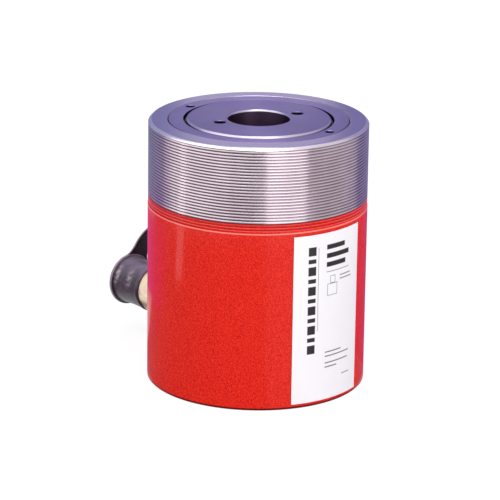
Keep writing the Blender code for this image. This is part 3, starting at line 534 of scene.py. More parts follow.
def rubber_finish(name, dark, bloom, painted_light=0.0, ior=1.5):
    """Moulded black rubber with a violet-grey bloom; a share of painted light adds a painted sheen on its
    upper side, painted highlight spots and a painted highlight on the rim.
    """
    finish = Finish(name)
    cloud = finish.noise(110.0, 4.0, 0.6)
    crease = finish.noise(150.0, 2.0, 0.5, (1.0, 0.5, 0.8))
    scuff = finish.noise(420.0, 3.0, 0.6, (1.0, 0.35, 1.0))
    height = finish.z - PORT_Z
    from_axis = (height * height + finish.x * finish.x).root()
    # Painted highlight along the disc's rounded rim
    rim = finish.rise(from_axis, CAP_DISC_R - 0.0007, CAP_DISC_R - 0.0001)
    around = height.sum("ARCTAN2", height, finish.x * -1.0)
    from_end = CAP_END - finish.y
    # Painted highlights: two bands of spots near the cap's end
    highlight_spots = finish.span(around, 0.15, 0.75, 0.3) * (
        finish.span(from_end, 0.0035, 0.0070, 0.0020) + finish.span(from_end, 0.0165, 0.0205, 0.0025) * 0.8)
    # Painted sheen: the upper side is lighter, as if lit from above
    upper_sheen = finish.rise(height, 0.005, 0.017)
    colour = finish.mix(dark, bloom, finish.rise(cloud, 0.42, 0.72) * 0.7)
    colour = finish.mix(colour, seen(150, 138, 156), finish.rise(scuff, 0.60, 0.80) * 0.3)
    colour = finish.mix(colour, seen(150, 138, 162), upper_sheen * (cloud + 0.3) * painted_light)
    # The spots' painted highlights, broken up by noise
    painted_highlights = highlight_spots * finish.rise(cloud + scuff, 0.75, 1.10) * painted_light
    colour = finish.mix(colour, seen(240, 228, 236), painted_highlights)
    colour = finish.mix(colour, seen(168, 160, 176), rim * painted_light)
    return finish.surface(Base_Color=colour, Roughness=0.30 + scuff * 0.20, Sheen_Weight=0.12, IOR=ior,
                          Normal=finish.bump(crease + scuff * 0.25, 0.0006, 0.6))


def brass_finish():
    """Pale machined brass with light tarnish, and a painted shade low down by the body."""
    finish = Finish("coupler_brass")
    cloud = finish.noise(160.0, 4.0, 0.6)
    fine = finish.noise(1400.0, 2.0, 0.6)
    # Painted shade on the lower side, by the body
    lower_shade = finish.span(finish.z - PORT_Z, -0.013, -0.006, 0.003) * finish.rise(cloud, 0.30, 0.46)
    colour = finish.mix(seen(248, 234, 202), seen(222, 196, 154), finish.rise(cloud, 0.45, 0.75) * 0.6)
    colour = finish.mix(colour, seen(150, 112, 72), finish.rise(fine, 0.66, 0.8) * 0.25)
    colour = finish.mix(colour, seen(110, 82, 52), lower_shade * 0.85)
    return finish.surface(Base_Color=colour, Metallic=0.6, Roughness=0.34 + cloud * 0.12,
                          Normal=finish.bump(fine, 0.00004, 0.3))


def seal_finish():
    """Dark wiper rubber."""
    finish = Finish("wiper_rubber")
    cloud = finish.noise(300.0, 3.0)
    colour = finish.mix(seen(18, 16, 22), seen(40, 36, 46), cloud)
    return finish.surface(Base_Color=colour, Roughness=0.5 + cloud * 0.1)


def spring_finish():
    """Dark oil-tempered wire."""
    finish = Finish("spring_wire")
    cloud = finish.noise(200.0, 3.0)
    colour = finish.mix(seen(92, 92, 98), seen(132, 130, 134), cloud)
    return finish.surface(Base_Color=colour, Metallic=1.0, Roughness=0.4 + cloud * 0.15)


def label_finish():
    """White film with generic printed marks: a scale bar, rules, text-free bars and empty frames."""
    finish = Finish("label_film")
    across = (finish.turn() + 0.25) * (2.0 * math.pi * BODY_R) + LABEL_WIDTH / 2.0
    down = LABEL_HIGH.z - finish.z
    edge = 0.00008

    def block(left, right, top, bottom, weight=1.0):
        """A printed rectangle, placed from the label's top left corner."""
        mask = finish.span(across, left, right, edge) * finish.span(down, top, bottom, edge)
        return mask * weight

    marks = []
    first_line = 0.0085
    text_left = 0.0255
    bar_height = 0.0034
    line_height = 0.0009
    frame_line = 0.0004
    top = first_line
    for number in range(11):
        length = 0.0062 if number % 2 == 0 else 0.0030
        marks.append(block(0.0108, 0.0168, top, top + length))
        top += length + 0.0024
    marks.append(block(0.0186, 0.0189, 0.0095, 0.0690, 0.9))
    for number, width in enumerate((0.0170, 0.0215, 0.0180)):
        low = first_line + number * 0.0062
        marks.append(block(text_left, text_left + width, low, low + bar_height))
    marks.append(block(text_left, 0.0475, 0.0275, 0.0281, 0.7))
    for left, right, high, low in ((0.0290, 0.0335, 0.0310, 0.0365), (0.0265, 0.0355, 0.0365, 0.0450)):
        outer = block(left, right, high, low, 0.8)
        inner = block(left + frame_line, right - frame_line, high + frame_line, low - frame_line)
        marks.append(outer * (1.0 - inner))
    for number, width in enumerate((0.0110, 0.0120)):
        low = 0.0318 + number * 0.0026
        marks.append(block(0.0380, 0.0380 + width, low, low + line_height, 0.7))
    for number, width in enumerate((0.0150, 0.0235, 0.0225, 0.0110)):
        low = 0.0850 + number * 0.0030 + (0.0018 if number > 1 else 0.0)
        marks.append(block(text_left, text_left + width, low, low + line_height, 0.8))
    marks.append(block(0.0420, 0.0500, 0.1040, 0.1048, 0.7))
    ink = sum(marks[1:], marks[0])
    paper = finish.mix(seen(240, 240, 244), seen(234, 233, 240), finish.noise(60.0, 3.0))
    grain = finish.noise(900.0, 2.0)
    colour = finish.mix(paper, seen(12, 8, 14), ink)
    return finish.surface(Base_Color=colour, Roughness=0.36 + grain * 0.10, Coat_Weight=0.2,
                          Coat_Roughness=0.25)


def thread_point(turns_down, depth, turn, crest_r):
    """Radius and height of the thread's surface, counted in turns from one pitch above its top."""
    height = THREAD_TOP + THREAD_PITCH * (1.0 - turns_down - turn)
    if height >= THREAD_TOP:
        return crest_r, THREAD_TOP
    if height <= THREAD_BOTTOM:
        return crest_r, THREAD_BOTTOM
    return crest_r - depth, height


def make_body():
    """The barrel with a true helical collar thread, its seats, and the port that the coupler is in."""
    crest_r = BODY_R - THREAD_CREST_DROP
    gland_hole_r = GLAND_R + FIT
    tube_hole_r = TUBE_R + FIT
    recess_r = TUBE_FLANGE_R + FIT
    lip_end = THREAD_BOTTOM - 3.0 * THREAD_CREST_DROP
    wall_top = THREAD_BOTTOM - 4.0 * THREAD_CREST_DROP
    above = eased([
        (BORE_R, GLAND_LOW.z - FIT), (gland_hole_r, GLAND_LOW.z - FIT),
        (gland_hole_r, BODY_TOP - EDGE_BREAK), (gland_hole_r + EDGE_BREAK, BODY_TOP),
        (BODY_R - TOP_CHAMFER, BODY_TOP, RIM_ROUND), (crest_r, THREAD_TOP),
    ])
    below = eased([
        (BODY_R, lip_end), (BODY_R, wall_top), (BODY_R, BASE_CHAMFER, 0.0003),
        (BODY_R - BASE_CHAMFER, 0.0, 0.0003), (recess_r, 0.0), (recess_r, BASE_LEDGE),
        (tube_hole_r, BASE_LEDGE), (tube_hole_r, BASE_THICKNESS), (BORE_R, BASE_THICKNESS),
    ])
    turns = [(whole + share, depth) for whole in range(THREAD_TURNS + 1) for share, depth in THREAD_FORM]
    turns.append((THREAD_TURNS + 1.0, 0.0))
    rows = [[corner] * (BODY_COLUMNS + 1) for corner in above]
    for down, depth in turns:
        rows.append([thread_point(down, depth, column / BODY_COLUMNS, crest_r)
                     for column in range(BODY_COLUMNS + 1)])
    rows += [[corner] * (BODY_COLUMNS + 1) for corner in below]
    points = []
    for row in rows:
        points.append([spot(CYLINDER, radius, 2.0 * math.pi * column / BODY_COLUMNS, height)
                       for column, (radius, height) in enumerate(row)])
    shape = lattice(points, close_rows=True)
    body = put("body_shell", shape, body_finish(), "cylinder", ("cylinder_body",))
    port_mouth = BODY_R + 0.004
    port_floor = BODY_R - PORT_DEPTH
    drill_point = 0.002
    port = turned([(0.0, port_mouth), (PORT_R, port_mouth), (PORT_R, port_floor),
                   (0.0, port_floor - drill_point)], SMALL_COLUMNS, COUPLER, solid=True)
    cut(body, [port])


def spanner_holes(radius, circle_r, angle, top, depth):
    """Cutters for two drilled holes with a small countersink and a drill point."""
    lead = 0.0005
    lift = 0.001
    shapes = []
    for number in range(2):
        turn = angle + number * math.pi
        about = CYLINDER @ Matrix.Translation((circle_r * math.cos(turn), circle_r * math.sin(turn), top))
        shapes.append(turned([
            (0.0, lift), (radius + lead + lift, lift), (radius, -lead), (radius, -depth),
            (0.0, -depth - radius * 0.5),
        ], HOLE_COLUMNS, about, solid=True))
    return shapes


def make_gland(finish):
    """The gland nut's ring on top of the body, and the wiper in its mouth."""
    gland = put("gland_ring", turned([
        (GLAND_OPENING_R, BODY_TOP, 0.0004), (GLAND_R, BODY_TOP, 0.0005), (GLAND_R, GLAND_LOW.z),
        (GLAND_INNER_R, GLAND_LOW.z), (GLAND_INNER_R, WIPER_LOW.z - FIT),
        (WIPER_GROOVE_R, WIPER_LOW.z - FIT), (WIPER_GROOVE_R, WIPER_HIGH.z + FIT),
        (GLAND_OPENING_R, WIPER_HIGH.z + FIT),
    ], BODY_COLUMNS, CYLINDER), finish, "cylinder", ("gland_nut", "gland_bearing"))
    cut(gland, spanner_holes(GLAND_SPANNER_R, (GLAND_OPENING_R + GLAND_R) / 2.0, GLAND_SPANNER_ANGLE,
                             BODY_TOP, GLAND_SPANNER_DEPTH))
    wiper_r = HEAD_R + FIT
    put("wiper_lip", turned([
        (wiper_r, WIPER_HIGH.z, 0.0003), (wiper_r + 0.0010, WIPER_HIGH.z, 0.0003),
        (wiper_r + 0.0013, WIPER_HIGH.z - 0.0028), (wiper_r + 0.0022, WIPER_HIGH.z - 0.0030),
        (wiper_r + 0.0022, WIPER_LOW.z), (wiper_r + 0.0004, WIPER_LOW.z),
    ], BODY_COLUMNS, CYLINDER), seal_finish(), "cylinder", ("rod_wiper",))


def make_plunger(finish):
    """The polished plunger under the head, seen when it is run out."""
    spring_bore_r = HEAD_R - PLUNGER_WALL
    counterbore_r = spring_bore_r + COUNTERBORE_STEP
    put("plunger_barrel", turned([
        (counterbore_r, PLUNGER_TOP, 0.0002), (HEAD_R, PLUNGER_TOP, 0.0003), (HEAD_R, PISTON_TOP),
        (PISTON_R, PISTON_TOP), (PISTON_R, PISTON_FOOT_TOP), (PISTON_FOOT_R, PISTON_FOOT_TOP),
        (PISTON_FOOT_R, PLUNGER_LOW.z), (TUBE_R + FIT, PLUNGER_LOW.z), (TUBE_R + FIT, SPRING_FLOOR),
        (spring_bore_r, SPRING_FLOOR), (spring_bore_r, COUNTERBORE_FLOOR),
        (counterbore_r, COUNTERBORE_FLOOR),
    ], BODY_COLUMNS, CYLINDER), finish, "plunger_assembly",
        ("plunger", "piston_seal", "piston_backup_ring", "piston_bearing", "inner_seal",
         "inner_backup_ring", "inner_bearing"))


def make_head(finish):
    """The head insert: flat top, chamfered edges, centre hole and two spanner holes."""
    spigot_r = (HEAD_R - PLUNGER_WALL) + SPIGOT_STEP
    spigot_bore_r = spigot_r - SPIGOT_WALL
    seat = PLUNGER_TOP + FIT
    head = put("head_face", turned([
        (HOLE_R + HOLE_CHAMFER, HEAD_TOP, 0.0002), (HEAD_R - HEAD_CHAMFER, HEAD_TOP, 0.0003),
        (HEAD_R, HEAD_TOP - HEAD_CHAMFER, 0.0003), (HEAD_R, seat), (spigot_r, seat),
        (spigot_r, HEAD_LOW.z), (spigot_bore_r, HEAD_LOW.z), (spigot_bore_r, seat),
        (HOLE_R, seat), (HOLE_R, HEAD_TOP - HOLE_CHAMFER, 0.0002),
    ], BODY_COLUMNS, CYLINDER), finish, "plunger_assembly", ("head_insert",))
    cut(head, spanner_holes(HEAD_SPANNER_R, HEAD_SPANNER_CIRCLE_R, HEAD_SPANNER_ANGLE, HEAD_TOP,
                            HEAD_SPANNER_DEPTH))


def make_tube(finish):
    """The smooth tube that lines the centre hole."""
    put("tube_liner", turned([
        (HOLE_R, TUBE_HIGH.z, 0.0004), (TUBE_R, TUBE_HIGH.z, 0.0004), (TUBE_R, TUBE_FLANGE_TOP),
        (TUBE_FLANGE_R, TUBE_FLANGE_TOP), (TUBE_FLANGE_R, TUBE_LOW.z, 0.0004), (HOLE_R, TUBE_LOW.z, 0.0006),
    ], BODY_COLUMNS, CYLINDER), finish, "cylinder", ("center_tube",))


def hex_row(station, turned_r):
    """One ring of the hexagon, its corners turned back to a radius where that is smaller."""
    points = []
    for column in range(SMALL_COLUMNS):
        angle = 2.0 * math.pi * column / SMALL_COLUMNS
        facet = (angle % (math.pi / 3.0)) - math.pi / 6.0
        flat_r = HEX_AF / 2.0 / math.cos(facet)
        points.append(spot(COUPLER, min(flat_r, turned_r), angle, station))
    return points


def make_coupler(finish):
    """The half coupler: neck, chamfered hexagon, threaded nose and its socket."""
    hex_start = BODY_R + NECK_LENGTH
    hex_end = CAP_RIM - 0.0011
    corner_r = HEX_AF / math.sqrt(3.0)
    rim_chamfer = 0.0055
    neck_chamfer = 0.0030
    spud_r = PORT_R - FIT
    spud_chamfer = 0.001
    nose = eased([(0.0, VALVE_SEAT), (VALVE_R, VALVE_SEAT), (VALVE_R, SOCKET_FLOOR, 0.0001),
                  (SOCKET_R, SOCKET_FLOOR), (SOCKET_R, NOSE_END, 0.0008), (NOSE_R - NOSE_CHAMFER, NOSE_END)])
    groove = NOSE_END - NOSE_CHAMFER
    while groove > CAP_RIM + NOSE_PLAIN:
        nose += [(NOSE_R, groove), (NOSE_R, groove - 0.0006), (NOSE_R - NOSE_THREAD_DEPTH, groove - 0.0011)]
        groove -= NOSE_THREAD_PITCH
    nose += [(NOSE_R, groove), (NOSE_R, hex_end + COLLAR_LENGTH),
             (COLLAR_R - COLLAR_EDGE, hex_end + COLLAR_LENGTH), (COLLAR_R - COLLAR_EDGE, hex_end)]
    neck = eased([(NECK_R + EDGE_BREAK, hex_start), (NECK_R, hex_start - EDGE_BREAK),
                  (NECK_R, BODY_R + FIT, 0.0004), (spud_r, BODY_R + FIT),
                  (spud_r, SPUD_END + spud_chamfer), (spud_r - spud_chamfer, SPUD_END), (0.0, SPUD_END)])
    rows = [ring_of(radius, height, SMALL_COLUMNS, COUPLER) for radius, height in nose]
    for step in range(HEX_STEPS + 1):
        share = step / HEX_STEPS
        rows.append(hex_row(hex_end - rim_chamfer * share, COLLAR_R + (corner_r - COLLAR_R) * share))
    for step in range(HEX_STEPS + 1):
        share = 1.0 - step / HEX_STEPS
        rows.append(hex_row(hex_start + neck_chamfer * share, COLLAR_R + (corner_r - COLLAR_R) * share))
    rows += [ring_of(radius, height, SMALL_COLUMNS, COUPLER) for radius, height in neck]
    shape = lattice(rows, close_columns=True)
    put("coupler_shell", shape, finish, "cylinder",
        ("coupler_body", "coupler_spring_seat", "coupler_o_ring"))


def make_poppet(finish):
    """The coupler's poppet, rounded at its nose."""
    tip = POPPET_HIGH.y - AXIS_Y
    lift = 0.00005
    foot = VALVE_SEAT + lift
    put("poppet_nose", turned([
        (0.0, tip), (POPPET_TIP_R, tip, 0.0020), (POPPET_R, foot, 0.0002), (0.0, foot),
    ], HOLE_COLUMNS, COUPLER, solid=True), finish, "coupler_poppet", ("coupler_poppet",))


def make_cap(finish):
    """The moulded dust cap: cup with a bead at its rim, groove, and the end disc."""
    dish = CAP_END - CAP_DISH_DEPTH
    disc_back = CAP_END - CAP_DISC_THICKNESS
    cup_r = CAP_DISC_R - CAP_CUP_STEP
    cup_floor = NOSE_END + 0.003
    neck_r = cup_r - CAP_NECK_STEP
    shape = turned([
        (0.0, dish), (CAP_DISH_R, dish), (CAP_DISH_EDGE_R, CAP_END, 0.0004),
        (CAP_DISC_R, CAP_END, 0.0009), (CAP_DISC_R, disc_back, 0.0008), (neck_r, disc_back, 0.0003),
        (neck_r, disc_back - 0.0008, 0.0003), (cup_r - 0.0002, disc_back - 0.0030, 0.0008),
        (cup_r - 0.0007, disc_back - 0.0120, 0.0020), (cup_r - 0.0005, CAP_RIM + 0.0036, 0.0008),
        (cup_r, CAP_RIM + 0.0026, 0.0006), (cup_r, CAP_RIM, 0.0009), (NOSE_R + FIT, CAP_RIM, 0.0006),
        (NOSE_R + FIT, cup_floor, 0.0008), (0.0, cup_floor),
    ], CAP_COLUMNS, COUPLER, solid=True)
    put("cap_cup", shape, finish, "dust_cap", ("dust_cap",))


def strap_row(outwards, along, direction, half_width, half_thickness):
    """One rounded cross-section of the strap, as a ring of points."""
    width_power = 0.35              # the lower these powers, the squarer the cross-section
    thickness_power = 0.6
    points = []
    normal = Vector((-direction[1], direction[0]))
    for side in range(STRAP_SIDES):
        angle = 2.0 * math.pi * (side + 0.5) / STRAP_SIDES
        flat = math.copysign(abs(math.cos(angle)) ** width_power, math.cos(angle)) * half_width
        thick = math.copysign(abs(math.sin(angle)) ** thickness_power, math.sin(angle)) * half_thickness
        local = Vector((outwards + normal[0] * thick, flat, along + normal[1] * thick))
        points.append(COUPLER @ (Matrix.Rotation(-STRAP_ANGLE, 3, "Z") @ local))
    return points


def fillet_span(round_r, fillet_r):
    """Where a fillet between a round edge and the strap's edge starts and ends, and its centre's height."""
    height = STRAP_WIDTH / 2.0 + fillet_r
    neck = math.sqrt((round_r + fillet_r) ** 2 - height ** 2)
    return neck * round_r / (round_r + fillet_r), neck, height


def make_strap(finish, edge_finish):
    """The cap's strap: a neck ring and a flat band that arches from the disc back to it."""
    ring_station = BODY_R + NECK_LENGTH / 2.0
    disc_station = CAP_END - CAP_DISC_THICKNESS / 2.0
    arch_r = (disc_station - ring_station) / 2.0
    middle = (disc_station + ring_station) / 2.0
    arch_gap = 0.0013               # from the disc's edge to where the arch starts
    base = CAP_DISC_R + arch_gap
    disc_root, disc_neck, disc_middle = fillet_span(CAP_DISC_R, DISC_FILLET_R)
    ring_root, ring_neck, ring_middle = fillet_span(NECK_R + STRAP_RING_WIDTH, RING_FILLET_R)
    stations = []
    steps = 10
    for step in range(steps):
        stations.append((disc_root + (base - disc_root) * step / steps, disc_station, (1.0, 0.0)))
    steps = 44
    for step in range(steps + 1):
        angle = math.pi * step / steps
        stations.append((base + arch_r * math.sin(angle), middle + arch_r * math.cos(angle),
                         (math.cos(angle), -math.sin(angle))))
    steps = 12
    for step in range(1, steps + 1):
        stations.append((base + (ring_root - base) * step / steps, ring_station, (-1.0, 0.0)))
    rows = []
    for outwards, along, direction in stations:
        half = STRAP_WIDTH / 2.0
        if along > middle and outwards < disc_neck:
            half = disc_middle - math.sqrt(DISC_FILLET_R ** 2 - (disc_neck - outwards) ** 2)
        if along < middle and outwards < ring_neck:
            half = ring_middle - math.sqrt(RING_FILLET_R ** 2 - (ring_neck - outwards) ** 2)
        rows.append(strap_row(outwards, along, direction, half, STRAP_THICKNESS / 2.0))
    shape = lattice(rows, close_columns=True)
    # The edge faces take the second finish, a painted highlight
    for number, face in enumerate(shape.faces):
        face.material_index = int(number % STRAP_SIDES in STRAP_EDGE_SIDES)
    bmesh.ops.holes_fill(shape, edges=shape.edges, sides=STRAP_SIDES)
    thick = STRAP_RING_THICKNESS / 2.0
    inner = NECK_R + FIT
    outer = inner + STRAP_RING_WIDTH
    rings = [ring_of(radius, height, SMALL_COLUMNS, COUPLER) for radius, height in eased([
        (inner, ring_station + thick, 0.0005), (outer, ring_station + thick, 0.0006),
        (outer, ring_station - thick, 0.0006), (inner, ring_station - thick, 0.0005)])]
    band = put("strap_band", shape, finish, None, ("cap_strap",), math.radians(50.0))
    band.data.materials.append(edge_finish)
    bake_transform(band)
    put("strap_ring", lattice(rings, close_rows=True, close_columns=True), finish, "cylinder",
        ())


def make_label():
    """The label film, wrapped on the body opposite the coupler."""
    outer_r = AXIS_Y - LABEL_LOW.y
    inner_r = outer_r - LABEL_THICKNESS
    half = LABEL_WIDTH / BODY_R / 2.0
    rows = []
    for radius, height in ((outer_r, LABEL_HIGH.z), (outer_r, LABEL_LOW.z), (inner_r, LABEL_LOW.z),
                           (inner_r, LABEL_HIGH.z)):
        row = []
        for column in range(LABEL_COLUMNS + 1):
            angle = -math.pi / 2.0 - half + 2.0 * half * column / LABEL_COLUMNS
            row.append(spot(CYLINDER, radius, angle, height))
        rows.append(row)
    shape = lattice(rows, close_rows=True)
    bmesh.ops.holes_fill(shape, edges=shape.edges, sides=4)
    put("label_sheet", shape, label_finish(), "cylinder", ("rating_label",))


def make_spring(name, node, wire_r, about, low, high, mean_r, finish):
    """A coil spring with closed end coils."""
    open_coils = SPRING_COILS - 2
    end_rise = SPRING_END_RISE * wire_r
    rise = (high - low - 2.0 * wire_r - 2.0 * end_rise) / open_coils
    rows = []
    for step in range(SPRING_COILS * COIL_STEPS + 1):
        turns = step / COIL_STEPS
        height = low + wire_r + end_rise * min(turns, 1.0)
        height += rise * min(max(turns - 1.0, 0.0), open_coils)
        height += end_rise * max(turns - (SPRING_COILS - 1), 0.0)
        row = []
        for side in range(WIRE_SIDES):
            tilt = 2.0 * math.pi * side / WIRE_SIDES
            row.append(spot(about, mean_r + wire_r * math.cos(tilt), 2.0 * math.pi * turns,
                            height + wire_r * math.sin(tilt)))
        rows.append(row)
    shape = lattice(rows, close_columns=True)
    bmesh.ops.holes_fill(shape, edges=shape.edges, sides=WIRE_SIDES)
    spring = put(name, shape, finish, "cylinder", (node,))
    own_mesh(spring)


def make_springs(finish):
    """The return spring inside the plunger and the small one behind the poppet."""
    low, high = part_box("return_spring")
    make_spring("plunger_spring", "return_spring", PLUNGER_SPRING_WIRE_R, CYLINDER,
                low.z, high.z, PLUNGER_SPRING_R,
                finish)
    low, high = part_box("coupler_spring")
    make_spring("poppet_spring", "coupler_spring", POPPET_SPRING_WIRE_R, COUPLER,
                low.y - AXIS_Y, high.y - AXIS_Y, POPPET_SPRING_R,
                finish)


def restyle(node, finish):
    """Gives a CAD node that stays its own finish."""
    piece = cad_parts[node]
    piece.data.materials.clear()
    piece.data.materials.append(finish)


def floor_finish():
    """A white floor that stays white to the camera and keeps a soft shadow."""
    finish = Finish("pale_floor")
    path = finish.add("ShaderNodeLightPath", output="Is Camera Ray")
    glossy = finish.add("ShaderNodeLightPath", output="Is Glossy Ray")
    clear = finish.add("ShaderNodeLightPath", output="Is Transmission Ray")
    plain = finish.add("ShaderNodeBsdfDiffuse", None, {"Color": (0.80, 0.80, 0.80, 1.0)})
    soft = finish.add("ShaderNodeBsdfDiffuse", None, {"Color": (0.22, 0.22, 0.23, 1.0)})
    glow = finish.add("ShaderNodeEmission", None, {"Color": (1.0, 1.0, 1.0, 1.0), "Strength": 0.86})
    shown = finish.add("ShaderNodeAddShader", None, {0: soft, 1: glow})
    seen_share = path + glossy + clear
    return finish.close(finish.add("ShaderNodeMixShader", None, {0: seen_share, 1: plain, 2: shown}))


def make_floor():
    """A wide floor just below the part's foot."""
    half_width = 8.0
    drop = 0.0002
    shape = bmesh.new()
    bmesh.ops.create_grid(shape, x_segments=1, y_segments=1, size=half_width)
    mesh = bpy.data.meshes.new("floor")
    shape.to_mesh(mesh)
    shape.free()
    mesh.materials.append(floor_finish())
    floor = bpy.data.objects.new("floor", mesh)
    floor.location.z = -drop
    bpy.context.scene.collection.objects.link(floor)


def make_world():
    """White where it is seen or reflected, a plain level where it lights matt surfaces."""
    world = bpy.data.worlds.new("studio")
    bpy.context.scene.world = world
    world.use_nodes = True
    tree = world.node_tree
    tree.nodes.clear()
    path = tree.nodes.new("ShaderNodeLightPath")
    shown = tree.nodes.new("ShaderNodeMath")
    shown.operation = "MAXIMUM"
    tree.links.new(path.outputs["Is Camera Ray"], shown.inputs[0])
    tree.links.new(path.outputs["Is Glossy Ray"], shown.inputs[1])
    strength = tree.nodes.new("ShaderNodeMapRange")
    strength.inputs["To Min"].default_value = 0.58
    strength.inputs["To Max"].default_value = 1.0
    tree.links.new(shown.outputs[0], strength.inputs["Value"])
    sky = tree.nodes.new("ShaderNodeBackground")
    sky.inputs["Color"].default_value = (1.0, 1.0, 1.0, 1.0)
    tree.links.new(strength.outputs[0], sky.inputs["Strength"])
    end = tree.nodes.new("ShaderNodeOutputWorld")
    tree.links.new(sky.outputs[0], end.inputs["Surface"])


def make_card(name, first, last, edges, colour):
    """A bent card round the body through (distance, height) edges, seen only in shiny surfaces.

    Its two angles are in degrees from the photograph's view, rightwards.
    """
    rows = []
    for reach, level in edges:
        row = []
        for step in range(CARD_STEPS + 1):
            turn = math.radians(first + (last - first) * step / CARD_STEPS)
            row.append(AXIS_FOOT + (RIGHT * math.sin(turn) - AHEAD * math.cos(turn)) * reach
                       + Vector((0.0, 0.0, level)))
        rows.append(row)
    finish = Finish(name)
    finish.close(finish.add("ShaderNodeEmission", None, {"Color": colour, "Strength": 1.0}))
    card = put(name, lattice(rows), finish.material, None)
    card.visible_camera = False
    card.visible_diffuse = False
    card.visible_shadow = False


def make_cards():
    """Cards and floor mats that only shiny surfaces see: bright and grey round the front, violet behind."""
    low = ((CARD_DISTANCE, CARD_FOOT), (CARD_DISTANCE, 0.25))
    tall = ((CARD_DISTANCE, CARD_FOOT), (CARD_DISTANCE, 0.8))
    high = ((CARD_DISTANCE, 0.26), (CARD_DISTANCE, 1.3))
    hood = ((CARD_DISTANCE, CARD_FOOT), (CARD_DISTANCE, 0.5), (0.12, 0.9))
    strip = ((0.45, 0.42), (0.45, 0.56))
    flat = ((BODY_R + 0.002, CARD_FOOT), (CARD_DISTANCE, CARD_FOOT))
    streak = ((0.32, 0.0012), (0.455, 0.0012), (0.455, 0.018))
    outer = ((0.22, MAT_HEIGHT), (0.43, MAT_HEIGHT))
    for name, first, last, edges, colour in (
        ("bright_card_right", 8.3, 47.9, tall, (2.15, 2.05, 2.08)),
        ("bright_card_left", -94.0, -27.0, low, (1.56, 1.49, 1.49)),
        ("high_card_left", -101.0, -10.0, high, (1.9, 1.86, 1.9)),
        ("chamfer_card_left", -101.0, -110.0, strip, (1.7, 1.67, 1.7)),
        ("grey_card_left", -26.5, 8.0, low, (0.99, 0.94, 0.96)),
        ("grey_card_right", 48.2, 114.0, tall, (0.90, 0.85, 0.89)),
        ("violet_card_right", 115.0, 172.0, hood, (0.42, 0.40, 0.62)),
        ("violet_card_left", -105.5, -172.0, hood, (0.44, 0.47, 0.66)),
        ("grey_card_far_left", -94.5, -105.0, low, (1.1, 1.04, 1.08)),
        ("bright_mat_right", 8.3, 47.9, flat, (0.9, 0.80, 0.78)),
        ("dim_mat_left", -100.0, 8.0, flat, (0.34, 0.26, 0.25)),
        ("streak_mat_left", -85.0, -76.0, streak, (3.2, 2.8, 2.8)),
        ("dim_mat_right", 48.2, 100.0, flat, (0.34, 0.24, 0.28)),
        ("violet_mat_right", 100.3, 172.0, flat, (0.32, 0.12, 0.34)),
        ("dim_mat_far_left", -100.3, -126.0, flat, (0.34, 0.20, 0.26)),
        ("violet_mat_left", -100.3, -164.0, outer, (0.74, 0.13, 0.64)),
    ):
        make_card(name, first, last, edges, (*colour, 1.0))


def softbox(name, across, up, distance, width, height, watts, colour=(1.0, 1.0, 1.0)):
    """An area lamp aimed at the body; across is its angle to the right of the camera, in degrees."""
    turn = math.radians(across)
    rise = math.radians(up)
    level = -AHEAD * math.cos(turn) + RIGHT * math.sin(turn)
    aim = AXIS_FOOT + Vector((0.0, 0.0, BODY_TOP * 0.55))
    lamp = bpy.data.lights.new(name, "AREA")
    lamp.shape = "RECTANGLE"
    lamp.size = width
    lamp.size_y = height
    lamp.energy = watts
    lamp.color = colour
    box = bpy.data.objects.new(name, lamp)
    box.location = aim + (level * math.cos(rise) + Vector((0.0, 0.0, math.sin(rise)))) * distance
    box.rotation_euler = (aim - box.location).to_track_quat("-Z", "Y").to_euler()
    box.visible_camera = False
    bpy.context.scene.collection.objects.link(box)


def make_lights():
    """Broad lamps: the key at the left, a fill at the right, one above and one behind."""
    softbox("key_left", -66.0, 20.0, 1.6, 2.1, 1.3, 8.2, (1.0, 0.97, 0.95))
    softbox("fill_right", 39.0, 18.0, 1.7, 1.1, 1.3, 12.2, (1.0, 0.97, 0.96))
    softbox("top", 5.0, 73.0, 1.4, 0.8, 0.6, 4.4)
    softbox("back", 165.0, 60.0, 1.8, 1.4, 1.0, 4.0)


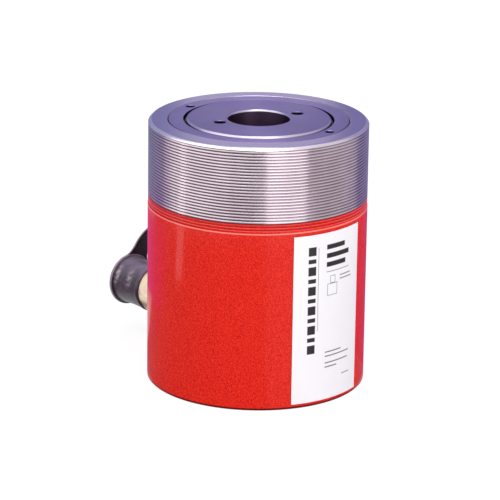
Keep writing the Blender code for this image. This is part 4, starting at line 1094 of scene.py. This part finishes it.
def make_camera():
    """The photograph's view, slightly rolled as the picture is."""
    target = AXIS_FOOT + RIGHT * VIEW_SIDE_STEP + Vector((0.0, 0.0, VIEW_HEIGHT))
    look = AHEAD * math.cos(VIEW_ELEVATION) - Vector((0.0, 0.0, math.sin(VIEW_ELEVATION)))
    level_up = RIGHT.cross(look)
    right = RIGHT * math.cos(VIEW_ROLL) + level_up * math.sin(VIEW_ROLL)
    up = level_up * math.cos(VIEW_ROLL) - RIGHT * math.sin(VIEW_ROLL)
    camera = bpy.data.cameras.new("camera")
    camera.lens = VIEW_LENS
    camera.sensor_width = 36.0
    camera.clip_start = 0.05
    camera.clip_end = 50.0
    stand = bpy.data.objects.new("camera", camera)
    pose = Matrix((right, up, -look)).transposed().to_4x4()
    pose.translation = target - look * VIEW_DISTANCE
    stand.matrix_world = pose
    bpy.context.scene.collection.objects.link(stand)
    bpy.context.scene.camera = stand


make_camera()
make_floor()
make_world()
make_cards()
make_lights()

# The violet of the head's and gland's faces is a painted reflection of violet surroundings on bare steel;
# their edge colours are painted highlights
face_steel = steel_finish("violet_face_steel", seen(114, 101, 159), PLAIN_STEEL, CHAMFER_HIGHLIGHT_STEEL,
                          HEAD_TOP, HEAD_R, FACE_TINT)
gland_steel = steel_finish("gland_steel", seen(131, 118, 173), PLAIN_STEEL, seen(140, 130, 166),
                           BODY_TOP, GLAND_R, FACE_TINT)
# The liner's dark steel is a painted shade inside the centre hole
tube_steel = steel_finish("tube_steel", DARK_STEEL, DARK_STEEL, DARK_STEEL, TUBE_HIGH.z, TUBE_R)
plated = steel_finish("plated_steel", PLATED_STEEL, PLATED_STEEL, PLATED_STEEL, PLUNGER_TOP, HEAD_R)
# 0.6 is the share of painted highlights and sheen on the cap
cap_rubber = rubber_finish("cap_rubber", seen(38, 28, 44), seen(90, 78, 98), 0.6)
strap_rubber = rubber_finish("strap_rubber", seen(20, 4, 18), seen(46, 26, 46), ior=1.25)
# A light rubber for the strap's edges: a painted highlight
edge_highlight_rubber = rubber_finish("painted_highlight_rubber_edge", seen(140, 130, 148), seen(180, 170, 186))
brass = brass_finish()
wire_steel = spring_finish()

make_body()
make_gland(gland_steel)
make_plunger(plated)
make_head(face_steel)
make_tube(tube_steel)
make_coupler(brass)
make_poppet(tube_steel)
make_cap(cap_rubber)
make_strap(strap_rubber, edge_highlight_rubber)
make_label()
make_springs(wire_steel)
for name in ("spring_retainer", "retainer_snap_ring"):
    restyle(name, wire_steel)
restyle("base_o_ring", seal_finish())

scene = bpy.context.scene
scene.view_settings.view_transform = "Standard"
bpy.context.view_layer.update()
